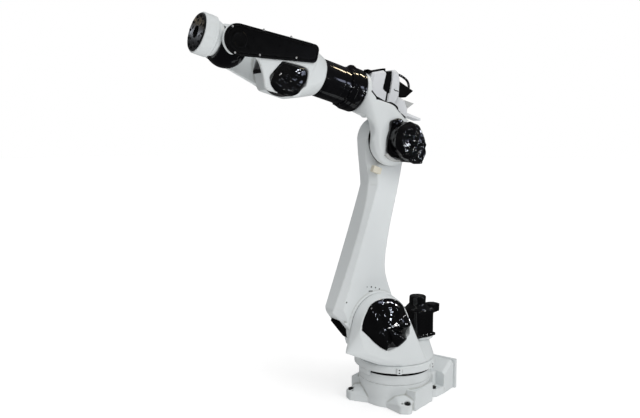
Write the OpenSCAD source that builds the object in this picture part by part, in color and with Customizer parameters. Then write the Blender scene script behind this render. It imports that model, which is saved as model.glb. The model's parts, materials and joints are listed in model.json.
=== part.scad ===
// Six-axis industrial robot arm with a forked wrist, in millimetres.
// Origin: the swivel axis at floor level. +Z is up, +X is the front of the base.

/* [Reach] */
// Height of the shoulder axis above the floor
shoulder_z = 560; // [540:5:620]
// Forward offset of the shoulder axis from the swivel axis
shoulder_x = 245; // [225:5:265]
// Shoulder axis to elbow axis
lower_arm_len = 1175; // [1000:5:1300]
// Rise from the elbow axis to the forearm's roll axis
elbow_rise = 250; // [240:2:280]
// Elbow axis to wrist bend axis, along the forearm
forearm_len = 1150; // [1050:5:1400]
// Wrist bend axis to the tool flange's face
flange_reach = 183; // [178:1:215]

/* [Stance] */
// Turn of the arm from the base's front at rest, degrees
swivel_rest = -19; // [-40:1:40]
// Forward lean of the lower arm at rest, degrees
lean_rest = -3.7; // [-15:0.1:15]
// Lift of the forearm above the lower arm's perpendicular at rest, degrees
elbow_rest = 10.4; // [-10:0.1:20]

/* [Base] */
// Overhang of the turntable past the base's round body
turntable_overhang = 32; // [28:1:38]
// Height of the base casting's body
base_h = 157; // [140:1:170]
// Height of the bearing ring on the base
ring_h = 82; // [70:1:90]
// Height of the feet
foot_h = 54; // [44:1:66]
// Front bolt caps, distance inside the front of the round body
cap_front_in = 37; // [24:1:48]
// Rear bolt caps, distance inside the rear of the round body
cap_rear_in = 80; // [64:1:88]
// Bolt caps, distance inside the sides of the round body
cap_side_in = 20; // [10:1:32]
// Radius of a bolt cap
cap_r = 17; // [12:1:22]
// Anchor holes, front to rear spacing less than the round body's diameter
anchor_x_less = 76; // [66:1:86]
// Anchor holes, side to side spacing less than the round body's diameter
anchor_y_less = 96; // [86:1:106]
// Anchor hole radius
anchor_r = 9; // [6:0.5:11]
// Depth of the connector box behind the round body
box_depth = 138; // [120:1:160]
// Height of the rear connector box
rear_h = 200; // [180:1:215]

/* [Swivel] */
// Radius of the turntable
turntable_r = 270; // [262:1:285]
// Height of the turntable's rim
turntable_h = 50; // [44:1:60]
// Radius of the shoulder motor's opening
opening_r = 183; // [165:1:190]
// Outer face of the shoulder upright, from the arm's plane
upright_y = 190; // [175:1:205]
// Plane between the upright and the lower arm
joint_y = 115; // [105:1:125]
// Depth of the shoulder motor's opening
opening_depth = 46; // [30:1:55]

/* [Lower arm] */
// Radius of the shoulder drum
shoulder_r = 214; // [205:1:220]
// Radius of the elbow end
elbow_end_r = 146; // [138:1:150]
// Far face of the lower arm
arm_far_y = -46; // [-60:1:-40]
// Width of the chamfer along the arm's front edge
arm_chamfer = 58; // [40:1:65]

/* [Upper arm] */
// Radius of the elbow hub
hub_r = 160; // [150:1:165]
// Outer face of the elbow hub
hub_y = 195; // [180:1:205]
// Radius of the elbow motor
elbow_motor_r = 112; // [100:1:120]
// Length of the elbow motor
elbow_motor_len = 112; // [90:1:140]
// Half width of the covers on the elbow
cover_half = 104; // [90:1:112]

/* [Forearm] */
// Radius of the roll collar
collar_r = 134; // [128:1:140]
// Roll collar's rear face, ahead of the elbow axis
collar_x = 248; // [240:1:260]
// Length of the roll collar
collar_len = 104; // [90:1:120]
// Radius of the forearm tube
tube_r = 114; // [105:1:120]
// Front end of the forearm tube, ahead of the elbow axis
tube_end_x = 548; // [500:1:560]

/* [Wrist] */
// Half width of the fork's gap
fork_half = 119; // [117:1:125]
// Thickness of a prong
prong_t = 24; // [20:1:30]
// Radius of the prong's end
prong_r = 88; // [80:1:92]
// Throat of the fork, behind the wrist bend axis
throat = 216; // [210:1:230]
// Thickness of the belt covers
cover_t = 12; // [8:1:16]
// Radius of the wrist body
wrist_r = 137; // [125:1:140]
// Radius of the tool drum
drum_r = 112; // [105:1:113]
// Length of the tool drum
drum_len = 80; // [60:1:84]
// Radius of the tool flange
flange_r = 102; // [95:1:104]
// Bolt circle of the tool flange, diameter
flange_pcd = 125; // [110:1:140]
// Radius of the flange's bolt holes
flange_hole_r = 5; // [3:0.5:6]
// Radius of the flange's centre bore
flange_bore_r = 31.5; // [25:0.5:40]

/* [Hidden] */
$fn = 96;
coarse = 32;
eps = 0.01;
// Running gap between bodies at a bearing
run = 0.3;
// Free clearance round moving pieces
free = 6;

white = [0.86, 0.87, 0.85];
black = [0.03, 0.03, 0.04];
dark = [0.13, 0.13, 0.14];
cream = [0.80, 0.74, 0.60];
grey = [0.55, 0.56, 0.56];

// Frames of the six links, each in its parent's frame
module in_swivel() { rotate([0, 0, swivel_rest]) children(); }
module in_lower_arm() {
    in_swivel() translate([shoulder_x, 0, shoulder_z]) rotate([0, lean_rest, 0]) children();
}
module in_upper_arm() {
    in_lower_arm() translate([0, 0, lower_arm_len]) rotate([0, -elbow_rest, 0]) children();
}
module in_forearm() { in_upper_arm() translate([0, 0, elbow_rise]) children(); }
module in_wrist() { in_forearm() translate([forearm_len, 0, 0]) children(); }

// A flat outline in X and Z, as thick as the stretch from y0 to y1
module slab(y0, y1) { translate([0, y1, 0]) rotate([90, 0, 0]) linear_extrude(y1 - y0) children(); }
// Round bars along Y and along X
module bar_y(y0, y1, r1, r2 = -1) {
    translate([0, y0, 0]) rotate([-90, 0, 0]) cylinder(h = y1 - y0, r1 = r1, r2 = r2 < 0 ? r1 : r2);
}
module bar_x(x0, x1, r1, r2 = -1) {
    translate([x0, 0, 0]) rotate([0, 90, 0]) cylinder(h = x1 - x0, r1 = r1, r2 = r2 < 0 ? r1 : r2);
}
// A solid of revolution about X, from [radius, x] pairs
module spin_x(profile) { rotate([0, 90, 0]) rotate_extrude() polygon(profile); }
// A solid of revolution about Y, from [radius, y] pairs
module spin_y(profile) { rotate([-90, 0, 0]) rotate_extrude() polygon(profile); }

// Points of a cubic Bezier curve
function bezier(a, b, c, d, n = 14) = [
    for (i = [0 : n])
        let (t = i / n, s = 1 - t)
            s * s * s * a + 3 * s * s * t * b + 3 * s * t * t * c + t * t * t * d
];
// Points of an arc about c
function arc(c, r, a0, a1, n = 16) = [
    for (i = [0 : n]) let (a = a0 + (a1 - a0) * i / n) c + r * [cos(a), sin(a)]
];

// Base

base_r = turntable_r - turntable_overhang;
ring_top = base_h + ring_h;
turntable_z = ring_top + free;
turntable_top = turntable_z + turntable_h;
ring_wall = 70;
bearing_r = base_r - 33;
foot_r = cap_r + 14;
cheek_r = foot_r + 10;
cap_front_x = base_r - cap_front_in;
cap_rear_x = base_r - cap_rear_in;
cap_y = base_r - cap_side_in;
anchor_x = 2 * base_r - anchor_x_less;
anchor_y = 2 * base_r - anchor_y_less;
rear_x = base_r + box_depth;
anchor_mid_x = (cap_front_x - cap_rear_x) / 2;
anchor_pad_r = anchor_r + 19;
// Flat walls along both sides of the body
wall_h = base_h - 27;
wall_front_x = 0.63 * base_r;
wall_rear_x = 0.3 * base_r;
wall_out = 10;
wall_draft = 9;
neck_len = cap_rear_in;
spot_r = cap_r + free;
// Height at which a front foot runs out on the round body
foot_run_out = 40;

module base_casting() color(white) difference() {
    union() {
        rotate_extrude() polygon(concat(
            [[0, 0], [base_r - 12, 0], [base_r - 12, base_h * 0.11]],
            bezier([base_r - 16, base_h * 0.25], [base_r - 20, base_h * 0.5], [base_r, base_h * 0.7],
                [base_r, base_h - 12]),
            [[base_r, base_h], [0, base_h]]));
        for (side = [-1, 1]) {
            hull() {
                translate([cap_front_x, side * cap_y, 0]) cylinder(h = foot_h, r = foot_r, $fn = coarse);
                translate([anchor_mid_x + anchor_x / 2, side * anchor_y / 2, 0])
                    cylinder(h = foot_h, r = anchor_pad_r, $fn = coarse);
                translate([base_r * 0.42, side * base_r * 0.5, 0])
                    cylinder(h = foot_h + foot_run_out, r = base_r * 0.3, $fn = coarse);
                translate([base_r * 0.75, side * base_r / 4, 0])
                    cylinder(h = foot_h / 2, r = foot_r, $fn = coarse);
            }
            linear_extrude(wall_h) polygon([
                [wall_front_x, 0], [wall_front_x, side * (base_r + wall_out)],
                [-wall_rear_x, side * (base_r + wall_out + wall_draft)], [-wall_rear_x, 0]]);
            hull() {
                translate([-cap_rear_x, side * cap_y, 0]) cylinder(h = foot_h, r = foot_r, $fn = coarse);
                translate([anchor_mid_x - anchor_x / 2, side * anchor_y / 2, 0])
                    cylinder(h = foot_h, r = anchor_pad_r, $fn = coarse);
                translate([eps / 2 - box_front_x, 0, 0]) slab_box(eps, 2 * rear_half_w, foot_h);
                translate([-wall_rear_x, side * base_r / 2, 0]) cylinder(h = foot_h, r = foot_r, $fn = coarse);
            }
        }
        translate([-cap_rear_x - neck_len / 2, 0, 0])
            slab_box(neck_len, 2 * (cap_y - spot_r), base_h - box_drop);
    }
    for (side = [-1, 1]) {
        translate([cap_front_x, side * cap_y, foot_h]) cylinder(h = base_h, r = spot_r);
        for (end = [-1, 1]) translate([anchor_mid_x + end * anchor_x / 2, side * anchor_y / 2, -eps])
            cylinder(h = base_h, r = anchor_r);
    }
}

// A box centred in X and Y with its foot on the floor
module slab_box(x, y, z) { translate([-x / 2, -y / 2, 0]) cube([x, y, z]); }

module bearing_ring() color(white) translate([0, 0, base_h]) rotate_extrude() polygon([
    [base_r - ring_wall, 0], [base_r - 3, 0], [base_r, 3], [base_r, ring_h], [bearing_r, ring_h],
    [bearing_r, ring_h + free - run], [base_r - ring_wall, ring_h + free - run]]);

// Connector box behind the base, flush with the rear cheeks
rear_half_w = cap_y + cheek_r;
box_front_x = cap_rear_x + neck_len;
box_drop = 10;
box_edge = 20;
panel_t = 24;
panel_lip = 14;
panel_rise = 6;

module connector_box() color(white) hull() {
    for (inset = [0, box_edge]) {
        translate([-rear_x, inset - rear_half_w, 0])
            cube([2 * box_edge, 2 * (rear_half_w - inset), rear_h - box_edge + inset]);
        translate([-box_front_x - box_edge, inset - rear_half_w, 0])
            cube([box_edge, 2 * (rear_half_w - inset), base_h - box_drop - box_edge + inset]);
    }
}

plug_r = 38;
plug_y = rear_half_w * 0.43;
module connector_panel() color(white) difference() {
    translate([-rear_x - panel_t, -rear_half_w - panel_lip, 0])
        cube([panel_t, 2 * (rear_half_w + panel_lip), rear_h + panel_rise]);
    for (side = [-1, 1]) translate([-rear_x - panel_t, side * plug_y, rear_h / 2])
        bar_x(-eps, panel_t / 2, plug_r);
}

module foot_caps() color(black) for (side = [-1, 1]) {
    translate([cap_front_x, side * cap_y, foot_h]) cap();
    translate([-cap_rear_x, side * cap_y, foot_h]) cap();
}
cap_h = 17;
module cap() rotate_extrude() polygon([
    [0, 0], [cap_r, 0], [cap_r, 0.6 * cap_h], [0.77 * cap_r, 0.88 * cap_h], [0, cap_h]]);

// Stops that meet at the ends of the swivel's turn
stop_half_deg = 7;
stop_out = 28;
stop_h = 48;
lug_h = 34;
lug_half_deg = 11;
module swivel_stop() color(white) translate([0, 0, ring_top - stop_h - run])
    rotate([0, 0, 180 - stop_half_deg]) rotate_extrude(angle = 2 * stop_half_deg) polygon([
        [base_r + run, 0], [base_r + stop_out - 10, 0], [base_r + stop_out, 14],
        [base_r + stop_out, stop_h - 8], [base_r + run, stop_h]]);

// Swivel

module turntable() color(white) in_swivel() difference() {
    union() {
        translate([0, 0, turntable_z]) rotate_extrude() polygon([
            [bearing_r - ring_wall, 0], [turntable_r - 3, 0], [turntable_r, 3],
            [turntable_r, turntable_h - 8], [turntable_r - 8, turntable_h],
            [bearing_r - ring_wall, turntable_h]]);
        for (a = boss_deg) rotate([0, 0, a]) translate([turntable_r - 2 * boss_out, -boss_w / 2, turntable_z])
            cube([3 * boss_out, boss_w, turntable_h - 8]);
    }
    for (a = boss_deg, k = [1, 3]) rotate([0, 0, a])
        translate([0, 0, turntable_z + turntable_h * k / 5])
            bar_x(turntable_r, turntable_r + 2 * boss_out, boss_hole_r);
}
boss_deg = [56, 112];
boss_out = 12;
boss_w = 34;
boss_hole_r = 4;

module stop_lug() color(white) in_swivel()
    translate([0, 0, turntable_z - lug_h]) rotate([0, 0, -lug_half_deg])
    rotate_extrude(angle = 2 * lug_half_deg) polygon([
        [base_r + free, 0], [turntable_r - 12, 0], [turntable_r - 4, 8], [turntable_r - 4, lug_h],
        [base_r + free, lug_h]]);

frame_foot_r = turntable_r - 8;
frame_floor = 14;
opening_y = upright_y - opening_depth;
rim = 12;
skirt_rear_x = -0.2 * frame_foot_r;
lip_x = shoulder_r + 30;
lip_z = -0.66 * shoulder_r;
lip_t = 8;
drum_clear = 10;
front_room_x = 110;
// The swivel motor stands inside the rear of the turntable
motor_in = 65;
motor_x = motor_in - turntable_r;
motor_seat_r = 76;
motor_pad_r = 108;
motor_pad_t = 14;
motor_pad_z = turntable_top + 88;
shoulder_bore_r = 80;

module at_shoulder() { translate([shoulder_x, 0, shoulder_z]) children(); }
// The frame's round foot, within a box from corner a to corner b in X and Y
module frame_foot(a, b) {
    intersection() {
        translate([0, 0, turntable_top]) cylinder(h = frame_floor, r = frame_foot_r, $fn = 64);
        translate([a[0], a[1], 0]) cube([b[0] - a[0], b[1] - a[1], turntable_top + frame_floor]);
    }
}
module motor_seat() {
    translate([motor_x, 0, motor_pad_z - lip_t]) cylinder(h = lip_t, r = motor_seat_r, $fn = 64);
}
// Outline of the motor's opening: round above, drawn to a point below
module opening(r) {
    intersection() {
        circle(r);
        polygon([[-r, -0.32 * r], [-0.28 * r, -0.74 * r], [-0.05 * r, -0.8 * r], [0.24 * r, -0.62 * r],
            [r, 0.06 * r], [r, r], [-r, r]]);
    }
}

module swivel_frame() color(white) in_swivel() difference() {
    union() {
        translate([0, 0, turntable_top]) cylinder(h = frame_floor, r = frame_foot_r);
        hull() {
            at_shoulder() bar_y(upright_y - 3, upright_y, opening_r + rim, $fn = 64);
            at_shoulder() bar_y(joint_y, joint_y + 20, shoulder_r - rim / 2, $fn = 64);
            at_shoulder() translate([lip_x, joint_y, lip_z]) cube([lip_t, lip_t, 1.5 * lip_t]);
            frame_foot([skirt_rear_x, joint_y], [turntable_r, turntable_r]);
        }
        hull() {
            frame_foot([-turntable_r, -turntable_r], [0, turntable_r]);
            motor_seat();
        }
        hull() {
            frame_foot([-turntable_r, 0], [turntable_r / 2, turntable_r]);
            motor_seat();
            at_shoulder() translate([-0.6 * opening_r, 0, -0.8 * opening_r])
                bar_y(joint_y, upright_y - 3, rim, $fn = coarse);
        }
    }
    // room for the lower arm's drum and for its front corner as the arm leans forward
    at_shoulder() bar_y(-2 * turntable_r, joint_y, shoulder_r + drum_clear);
    translate([front_room_x, -2 * turntable_r, turntable_top + frame_floor])
        cube([2 * turntable_r, 2 * turntable_r + joint_y, shoulder_z]);
    // room for the swivel motor
    translate([motor_x, 0, motor_pad_z]) cylinder(h = shoulder_z, r = motor_room_r);
    at_shoulder() slab(opening_y, 2 * upright_y) opening(opening_r);
    at_shoulder() bar_y(joint_y - 1, upright_y, shoulder_bore_r);
}

// Shoulder motor, on a plate that fills the opening
motor2_r = 116;
motor2_len = 62;
motor2_plate_t = 14;
motor2_gap = 4;
module shoulder_motor() color(black) in_swivel() at_shoulder() {
    slab(opening_y, opening_y + motor2_plate_t) opening(opening_r - motor2_gap);
    translate([-0.08 * motor2_r, opening_y + motor2_plate_t, 0.12 * motor2_r]) spin_y([
        [0, 0], [motor2_r, 0], [motor2_r, 0.35 * motor2_len], [0.93 * motor2_r, 0.5 * motor2_len],
        [0.83 * motor2_r, 0.86 * motor2_len], [0.4 * motor2_r, motor2_len], [0, motor2_len]]);
}

module swivel_motor_plate() color(white) in_swivel() translate([motor_x, 0, motor_pad_z])
    cylinder(h = motor_pad_t, r = motor_pad_r);

motor_w = 172;
motor_corner = 30;
motor_flange_t = 14;
motor_flange_out = 11;
motor_room_r = 0.71 * (motor_w + 2 * motor_flange_out) + free;
motor_body_h = 182;
motor_cap_h = 90;
motor_z = motor_pad_z + motor_pad_t;
module swivel_motor() color(black) in_swivel() translate([motor_x, 0, motor_z]) {
    linear_extrude(motor_flange_t) rounded_square(motor_w + 2 * motor_flange_out, motor_corner);
    translate([0, 0, motor_flange_t]) linear_extrude(motor_body_h - motor_flange_t)
        rounded_square(motor_w, motor_corner);
    translate([0, 0, motor_body_h]) rotate_extrude() polygon([
        [0, 0], [0.49 * motor_w, 0], [0.465 * motor_w, 0.13 * motor_cap_h],
        [0.35 * motor_w, 0.33 * motor_cap_h], [0.33 * motor_w, 0.42 * motor_cap_h],
        [0.33 * motor_w, 0.93 * motor_cap_h], [0.29 * motor_w, motor_cap_h], [0, motor_cap_h]]);
}
module rounded_square(w, r) {
    difference() {
        square(w, center = true);
        for (sx = [-1, 1], sy = [-1, 1]) translate([sx * w / 2, sy * w / 2]) difference() {
            square(2 * r, center = true);
            translate([-sx * r, -sy * r]) circle(r);
        }
    }
}
plug_len = 92;
plug_w = 72;
plug_h = 64;
plug_rise = 20;
module swivel_motor_plug() color(black) in_swivel()
    translate([motor_x - motor_w / 2, 0, motor_z + motor_body_h - plug_h + plug_rise]) rotate([0, -90, 0])
        translate([plug_h / 2, 0, 0]) linear_extrude(plug_len, scale = 0.86)
            square([plug_h, plug_w], center = true);

// Lower arm

arm_front_top = [100, 0.757 * lower_arm_len];
arm_front_low = [314, 112];
arm_waist = -44;
elbow_clear = 3;
arm_near_y = joint_y - elbow_clear;
// Step from the arm's near face up to its drum and elbow end
drum_step = 8;
drum_depth = 46;
elbow_bore_r = 70;

// Flat under the arm's front corner, where the bumper sits
flat_low = [143, -87];
flat_high = [262, 38];
module lower_arm_outline() {
    L = lower_arm_len;
    polygon(concat(
        arc([0, L], elbow_end_r, 0, 180, 32),
        bezier([-elbow_end_r, L], [-elbow_end_r, L - 260], [arm_waist, 0.55 * L], [arm_waist, 0.34 * L]),
        bezier([arm_waist, 0.34 * L], [arm_waist, 0.25 * L], [-110, 230], [-134, 134], 8),
        arc([0, 0], shoulder_r - 24, 135, 310, 32),
        [flat_low],
        bezier(flat_high, flat_high + [34, 30], arm_front_low + [8, -30], arm_front_low, 8),
        bezier(arm_front_low, arm_front_low + [-46, 138], [120, 700], arm_front_top),
        bezier(arm_front_top, [98, 960], [elbow_end_r, L - 120], [elbow_end_r, L])));
}

module lower_arm() color(white) in_lower_arm() difference() {
    union() {
        slab(arm_far_y, arm_near_y - drum_step) lower_arm_outline();
        bar_y(arm_near_y - drum_depth, arm_near_y, shoulder_r);
        translate([0, 0, lower_arm_len]) bar_y(arm_near_y - drum_step - 2, arm_near_y, elbow_end_r - 4);
        bar_y(arm_near_y - drum_step, joint_y + 20, shoulder_bore_r - run);
        translate([0, 0, lower_arm_len]) bar_y(arm_near_y - drum_step, joint_y + 30, elbow_bore_r - run);
    }
    // long chamfers down the front edges
    for (i = [0 : 2]) {
        hull() {
            for (k = [i, i + 1]) translate([0, arm_near_y - drum_step, 0]) chamfer_end(near_line[k], -1);
        }
        hull() {
            for (k = [i, i + 1]) translate([0, arm_far_y, 0]) chamfer_end(far_line[k], 1);
        }
    }
    // the far side of the elbow end falls away all round its top
    translate([0, 0, lower_arm_len]) difference() {
        spin_y([
            [elbow_end_r + 1, arm_far_y - 1], [elbow_end_r + 1, arm_far_y + 0.72 * far_chamfer + 0.9],
            [elbow_end_r - 0.8 * far_chamfer - 1.1, arm_far_y - 1]]);
        translate([-2 * elbow_end_r, 2 * arm_far_y, -2 * elbow_end_r])
            cube([4 * elbow_end_r, 4 * elbow_end_r, 2 * elbow_end_r]);
    }
}
far_chamfer = 40;
// Stations of the chamfers up the arm's front edge, [x, z, width]
near_line = [
    [flat_high[0] + 6, flat_high[1] - 10, arm_chamfer], [arm_front_low[0], arm_front_low[1], arm_chamfer],
    [arm_front_top[0], arm_front_top[1], arm_chamfer],
    [elbow_end_r, lower_arm_len, 0.8 * arm_chamfer]];
far_line = [
    [flat_high[0] + 6, flat_high[1] - 10, 0.4 * far_chamfer],
    [arm_front_low[0], arm_front_low[1], 0.6 * far_chamfer], [arm_front_top[0], arm_front_top[1], far_chamfer],
    [elbow_end_r, lower_arm_len, far_chamfer]];
// One end of a chamfer's cut, nearly as deep as it is wide
module chamfer_end(at, way) {
    w = at[2];
    translate([at[0] - 0.8 * w, 0, at[1]]) linear_extrude(1)
        polygon([[0, 0], [2 * w, 0], [2 * w, 1.8 * w * way], [w, 0.9 * w * way]]);
}

bumper_t = 17;
flat_dir = (flat_high - flat_low) / norm(flat_high - flat_low);
flat_out = [flat_dir[1], -flat_dir[0]];
bumper_end = 10;
bumper_far_y = arm_far_y + far_chamfer / 2;
bumper_near_y = arm_near_y - drum_depth - free;
module shoulder_bumper() color(black) in_lower_arm() slab(bumper_far_y, bumper_near_y)
    polygon([
        flat_low, flat_high, flat_high + bumper_t * flat_out - bumper_end * flat_dir,
        flat_low + bumper_t * flat_out + bumper_end * flat_dir]);

block_t = 30;
block_w = 64;
block_h = 40;
block_tilt = -15;
module elbow_stop_block() color(cream) in_lower_arm()
    translate([0.56 * elbow_end_r, arm_near_y - drum_step, lower_arm_len - 1.17 * elbow_end_r])
        rotate([0, block_tilt, 0]) translate([-block_w / 2, 0, -block_h])
            cube([block_w, block_t, block_h]);

// Upper arm

ring_t = 36;
ring_back = collar_x - ring_t;
hub_edge = 30;
roll_bore_r = 90;
// Seam between the casting and the covers on top of it
seam_z = elbow_rise - 38;
seam_step = 30;
seam_mid_x = 66;
seam_step_x = -8;
seam_rear = [-186, seam_z - 54];
seam = [
    [ring_back, elbow_rise], [ring_back - 49, seam_z], [seam_step_x, seam_z],
    [seam_step_x, seam_z - seam_step], seam_rear];

module elbow_casting() color(white) in_upper_arm() difference() {
    union() {
        hull() {
            bar_y(joint_y, hub_y - hub_edge, hub_r, $fn = 64);
            bar_y(hub_y - hub_edge, hub_y, hub_r - 0.8 * hub_edge, $fn = 64);
            translate([0, 0, elbow_rise]) bar_x(collar_x - ring_t, collar_x - run, collar_r - 4, $fn = 64);
            translate([-0.75 * hub_r, joint_y, 0.38 * hub_r]) bar_y(0, hub_edge, 0.38 * hub_r, $fn = coarse);
        }
        hull() {
            translate([0, 0, elbow_rise])
                bar_x(collar_x - ring_t, collar_x - ring_t / 2, collar_r - 10, $fn = 64);
            translate([seam_rear[0] + 50, 0, seam_rear[1] + hub_edge / 3])
                bar_y(-cover_half + hub_edge, joint_y, hub_edge / 3, $fn = coarse);
        }
    }
    bar_y(-2 * hub_r, joint_y, elbow_end_r + drum_clear);
    slab(-2 * hub_r, joint_y) fold_room();
    bar_y(joint_y - 1, joint_y + 40, elbow_bore_r);
    slab(-2 * hub_r, 2 * hub_r) cover_region();
    slab(-2 * hub_r, 2 * hub_r) armpit();
    translate([0, 0, elbow_rise]) bar_x(ring_back - 20, collar_x + 1, roll_bore_r);
}
// Room for the lower arm under the elbow, with the forearm folded down or raised
module fold_room() {
    polygon(concat(
        [[-3 * hub_r, -3 * hub_r], [-3 * hub_r, elbow_end_r + 8]],
        bezier([0.3 * hub_r, elbow_end_r + 8], [0.66 * hub_r, elbow_end_r + 8],
            [0.95 * hub_r, 0.4 * elbow_end_r], [collar_x + 1, elbow_rise - collar_r]),
        [[collar_x + 1, -3 * hub_r]]));
}
// Hollow curve from the roll collar down to the hub's front
module armpit() {
    polygon(concat(
        bezier([collar_x + 1, elbow_rise - collar_r], [0.8 * collar_x, elbow_rise - 1.2 * collar_r],
            [1.02 * hub_r, 0.3 * hub_r], [1.005 * hub_r, 0]),
        [[1.005 * hub_r, -2 * hub_r], [3 * hub_r, -2 * hub_r], [3 * hub_r, elbow_rise - collar_r]]));
}
module cover_region() {
    polygon(concat(seam, [[-3 * hub_r, seam_rear[1]], [-3 * hub_r, 4 * hub_r], [ring_back, 4 * hub_r]]));
}

motor3_x = -36;
motor3_z = 4;
motor3_flange_t = 22;
motor3_corner = 56;
module at_elbow_motor() { in_upper_arm() translate([motor3_x, hub_y, motor3_z]) children(); }
module elbow_motor_flange(out) { rounded_square(2 * (elbow_motor_r + out), motor3_corner); }
module elbow_motor() color(black) at_elbow_motor() {
    slab(0, motor3_flange_t) elbow_motor_flange(free);
    spin_y([
        [0, motor3_flange_t], [elbow_motor_r, motor3_flange_t], [elbow_motor_r, 0.72 * elbow_motor_len],
        [0.9 * elbow_motor_r, 0.8 * elbow_motor_len], [0.78 * elbow_motor_r, elbow_motor_len],
        [0, elbow_motor_len]]);
}
motor3_box_out = 26;
motor3_box_y = 60;
module elbow_motor_box() color(black) at_elbow_motor() difference() {
    slab(motor3_flange_t, motor3_flange_t + motor3_box_y) translate([-elbow_motor_r, -elbow_motor_r]) polygon([
        [-motor3_box_out, 0], [elbow_motor_r, 0], [elbow_motor_r / 2, elbow_motor_r],
        [0, 1.35 * elbow_motor_r], [-motor3_box_out, 1.1 * elbow_motor_r]]);
    bar_y(0, elbow_motor_len, elbow_motor_r + run);
}

lip_in = 0.76 * hub_r;
lip_out = 0.85 * hub_r;
lip_depth = 20;
module elbow_lip() color(grey) in_upper_arm() difference() {
    translate([0, hub_y, 0]) rotate([-90, 0, 0]) rotate([0, 0, 56]) rotate_extrude(angle = 52)
        polygon([[lip_in, 0], [lip_out, 0], [lip_out, lip_depth], [lip_in, lip_depth + free]]);
    translate([motor3_x, hub_y, motor3_z]) slab(-1, 2 * lip_depth) elbow_motor_flange(free + 2);
}

// Covers over the cables, bevelled on both sides
cover_bevel = 14;
cover_top = elbow_rise + 193;
module cover(half, bevel) {
    hull() {
        slab(bevel - half, half - bevel) children();
        slab(-half, half) offset(delta = -bevel) children();
    }
}
strap_rear = [[seam_step_x - 24, elbow_rise + 40], [seam_step_x - 6, elbow_rise + 140]];
// Outline of the cables' gap between the front cover and the strap
module cable_gap() {
    translate([seam_mid_x, elbow_rise]) polygon([
        [-16, 35], [26, 37], [48, 48], [45, 146], [66, 164], [66, 300], [19, 300], [-12, 120]]);
}
module front_cover() color(white) in_upper_arm() difference() {
    cover(cover_half, cover_bevel) polygon([
        [seam_mid_x, seam_z], seam[1], seam[0], [ring_back, elbow_rise + 122],
        [ring_back - 22, elbow_rise + 133], [ring_back - 81, elbow_rise + 161], [seam_mid_x, cover_top - 12]]);
    slab(-2 * cover_half, 2 * cover_half) cable_gap();
}
module cable_strap() color(white) in_upper_arm() difference() {
    cover(cover_half, cover_bevel) polygon([
        [seam_mid_x, seam_z], [seam_mid_x, cover_top - 12], [seam_mid_x - 26, cover_top],
        [seam_mid_x - 60, cover_top - 12], strap_rear[1], strap_rear[0], seam[2]]);
    slab(-2 * cover_half, 2 * cover_half) cable_gap();
}
duct_inset = 10;
module cable_duct() color(black) in_upper_arm() intersection() {
    slab(duct_inset - cover_half, cover_half - duct_inset) cable_gap();
    slab(-cover_half, cover_half) polygon([
        [seam_mid_x - 60, seam_z], [seam_mid_x + 140, seam_z], [seam_mid_x + 140, elbow_rise + 128],
        [seam_mid_x + 65, elbow_rise + 154], [seam_mid_x, cover_top - 18], [seam_mid_x - 60, cover_top - 18]]);
}
rear_top = [seam_step_x - 81, elbow_rise + 33];
rear_mid = [seam_step_x - 117, elbow_rise - 12];
rear_foot = seam_rear + 0.28 * (seam[3] - seam_rear);
module rear_cover() color(white) in_upper_arm() cover(cover_half - 4, cover_bevel) polygon([
    seam[3], seam[2], strap_rear[0], rear_top, rear_mid, rear_foot]);
box_half = 72;
module cable_box() color(black) in_upper_arm() cover(box_half, cover_bevel / 2) polygon([
    strap_rear[0] + [0, 4], strap_rear[1], strap_rear[1] + [-16, 4], strap_rear[1] + [-150, -22],
    rear_top + [-24, 26]]);
wedge_y = [40, 88];
module cover_wedge() color(grey) in_upper_arm() slab(wedge_y[0], wedge_y[1]) polygon([
    rear_top, rear_top + [-82, 2], rear_mid]);
function on_rear_edge(t) = rear_foot + t * (rear_mid - rear_foot);
tab_y = [10, 78];
tab_len = 132;
module rear_bracket() color(white) in_upper_arm() slab(tab_y[0], tab_y[1]) polygon([
    on_rear_edge(0.4), on_rear_edge(0.68), on_rear_edge(0.68) - [tab_len, 4],
    on_rear_edge(0.4) - [tab_len, -2]]);

// Forearm

spigot = ring_t - free;
module roll_collar() color(black) in_forearm() spin_x([
    [0, collar_x - spigot], [roll_bore_r - run, collar_x - spigot], [roll_bore_r - run, collar_x],
    [collar_r - 4, collar_x], [collar_r, collar_x + 4], [collar_r, collar_x + collar_len - 14],
    [collar_r - 12, collar_x + collar_len], [0, collar_x + collar_len]]);
module forearm_tube() color(black) in_forearm() bar_x(collar_x + collar_len, tube_end_x, tube_r);

cover_rear_x = 442;
cover_rear_z = 78;
cover_rear_r = 53;
yoke_half = fork_half + prong_t;
yoke_rear_x = tube_end_x - forearm_len;
prong_rim = 6;
pivot_r = 50;
window_floor_y = fork_half / 2;
cheek_rear_x = cover_rear_x + 40;
cheek_low = [-390, -120];
chin = [-246, -158];

// Back of a cheek, round the cover's rear end
function cheek_back() = arc([-cover_rear_x, cover_rear_z], cover_rear_r + prong_rim, 84, 190, 10);
// Near side of the yoke: the slim prong and the cheek round the motors' window
module near_cheek() {
    polygon(concat(
        arc([0, 0], prong_r, -75, 76, 20),
        cheek_back(),
        [[-cheek_rear_x, -60]],
        arc(cheek_low, 74, 225, 275, 6),
        arc(chin, 46, 270, 340, 6),
        bezier([-190, -140], [-160, -84], [-140, -44], [-90, -56], 8)));
}
// Far prong, deeper than the near one
module far_cheek() {
    polygon(concat(
        arc([0, 0], prong_r, -96, 76, 20),
        cheek_back(),
        [[-cheek_rear_x, -60]],
        arc(cheek_low + [0, 10], 50, 225, 276, 6)));
}

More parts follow.
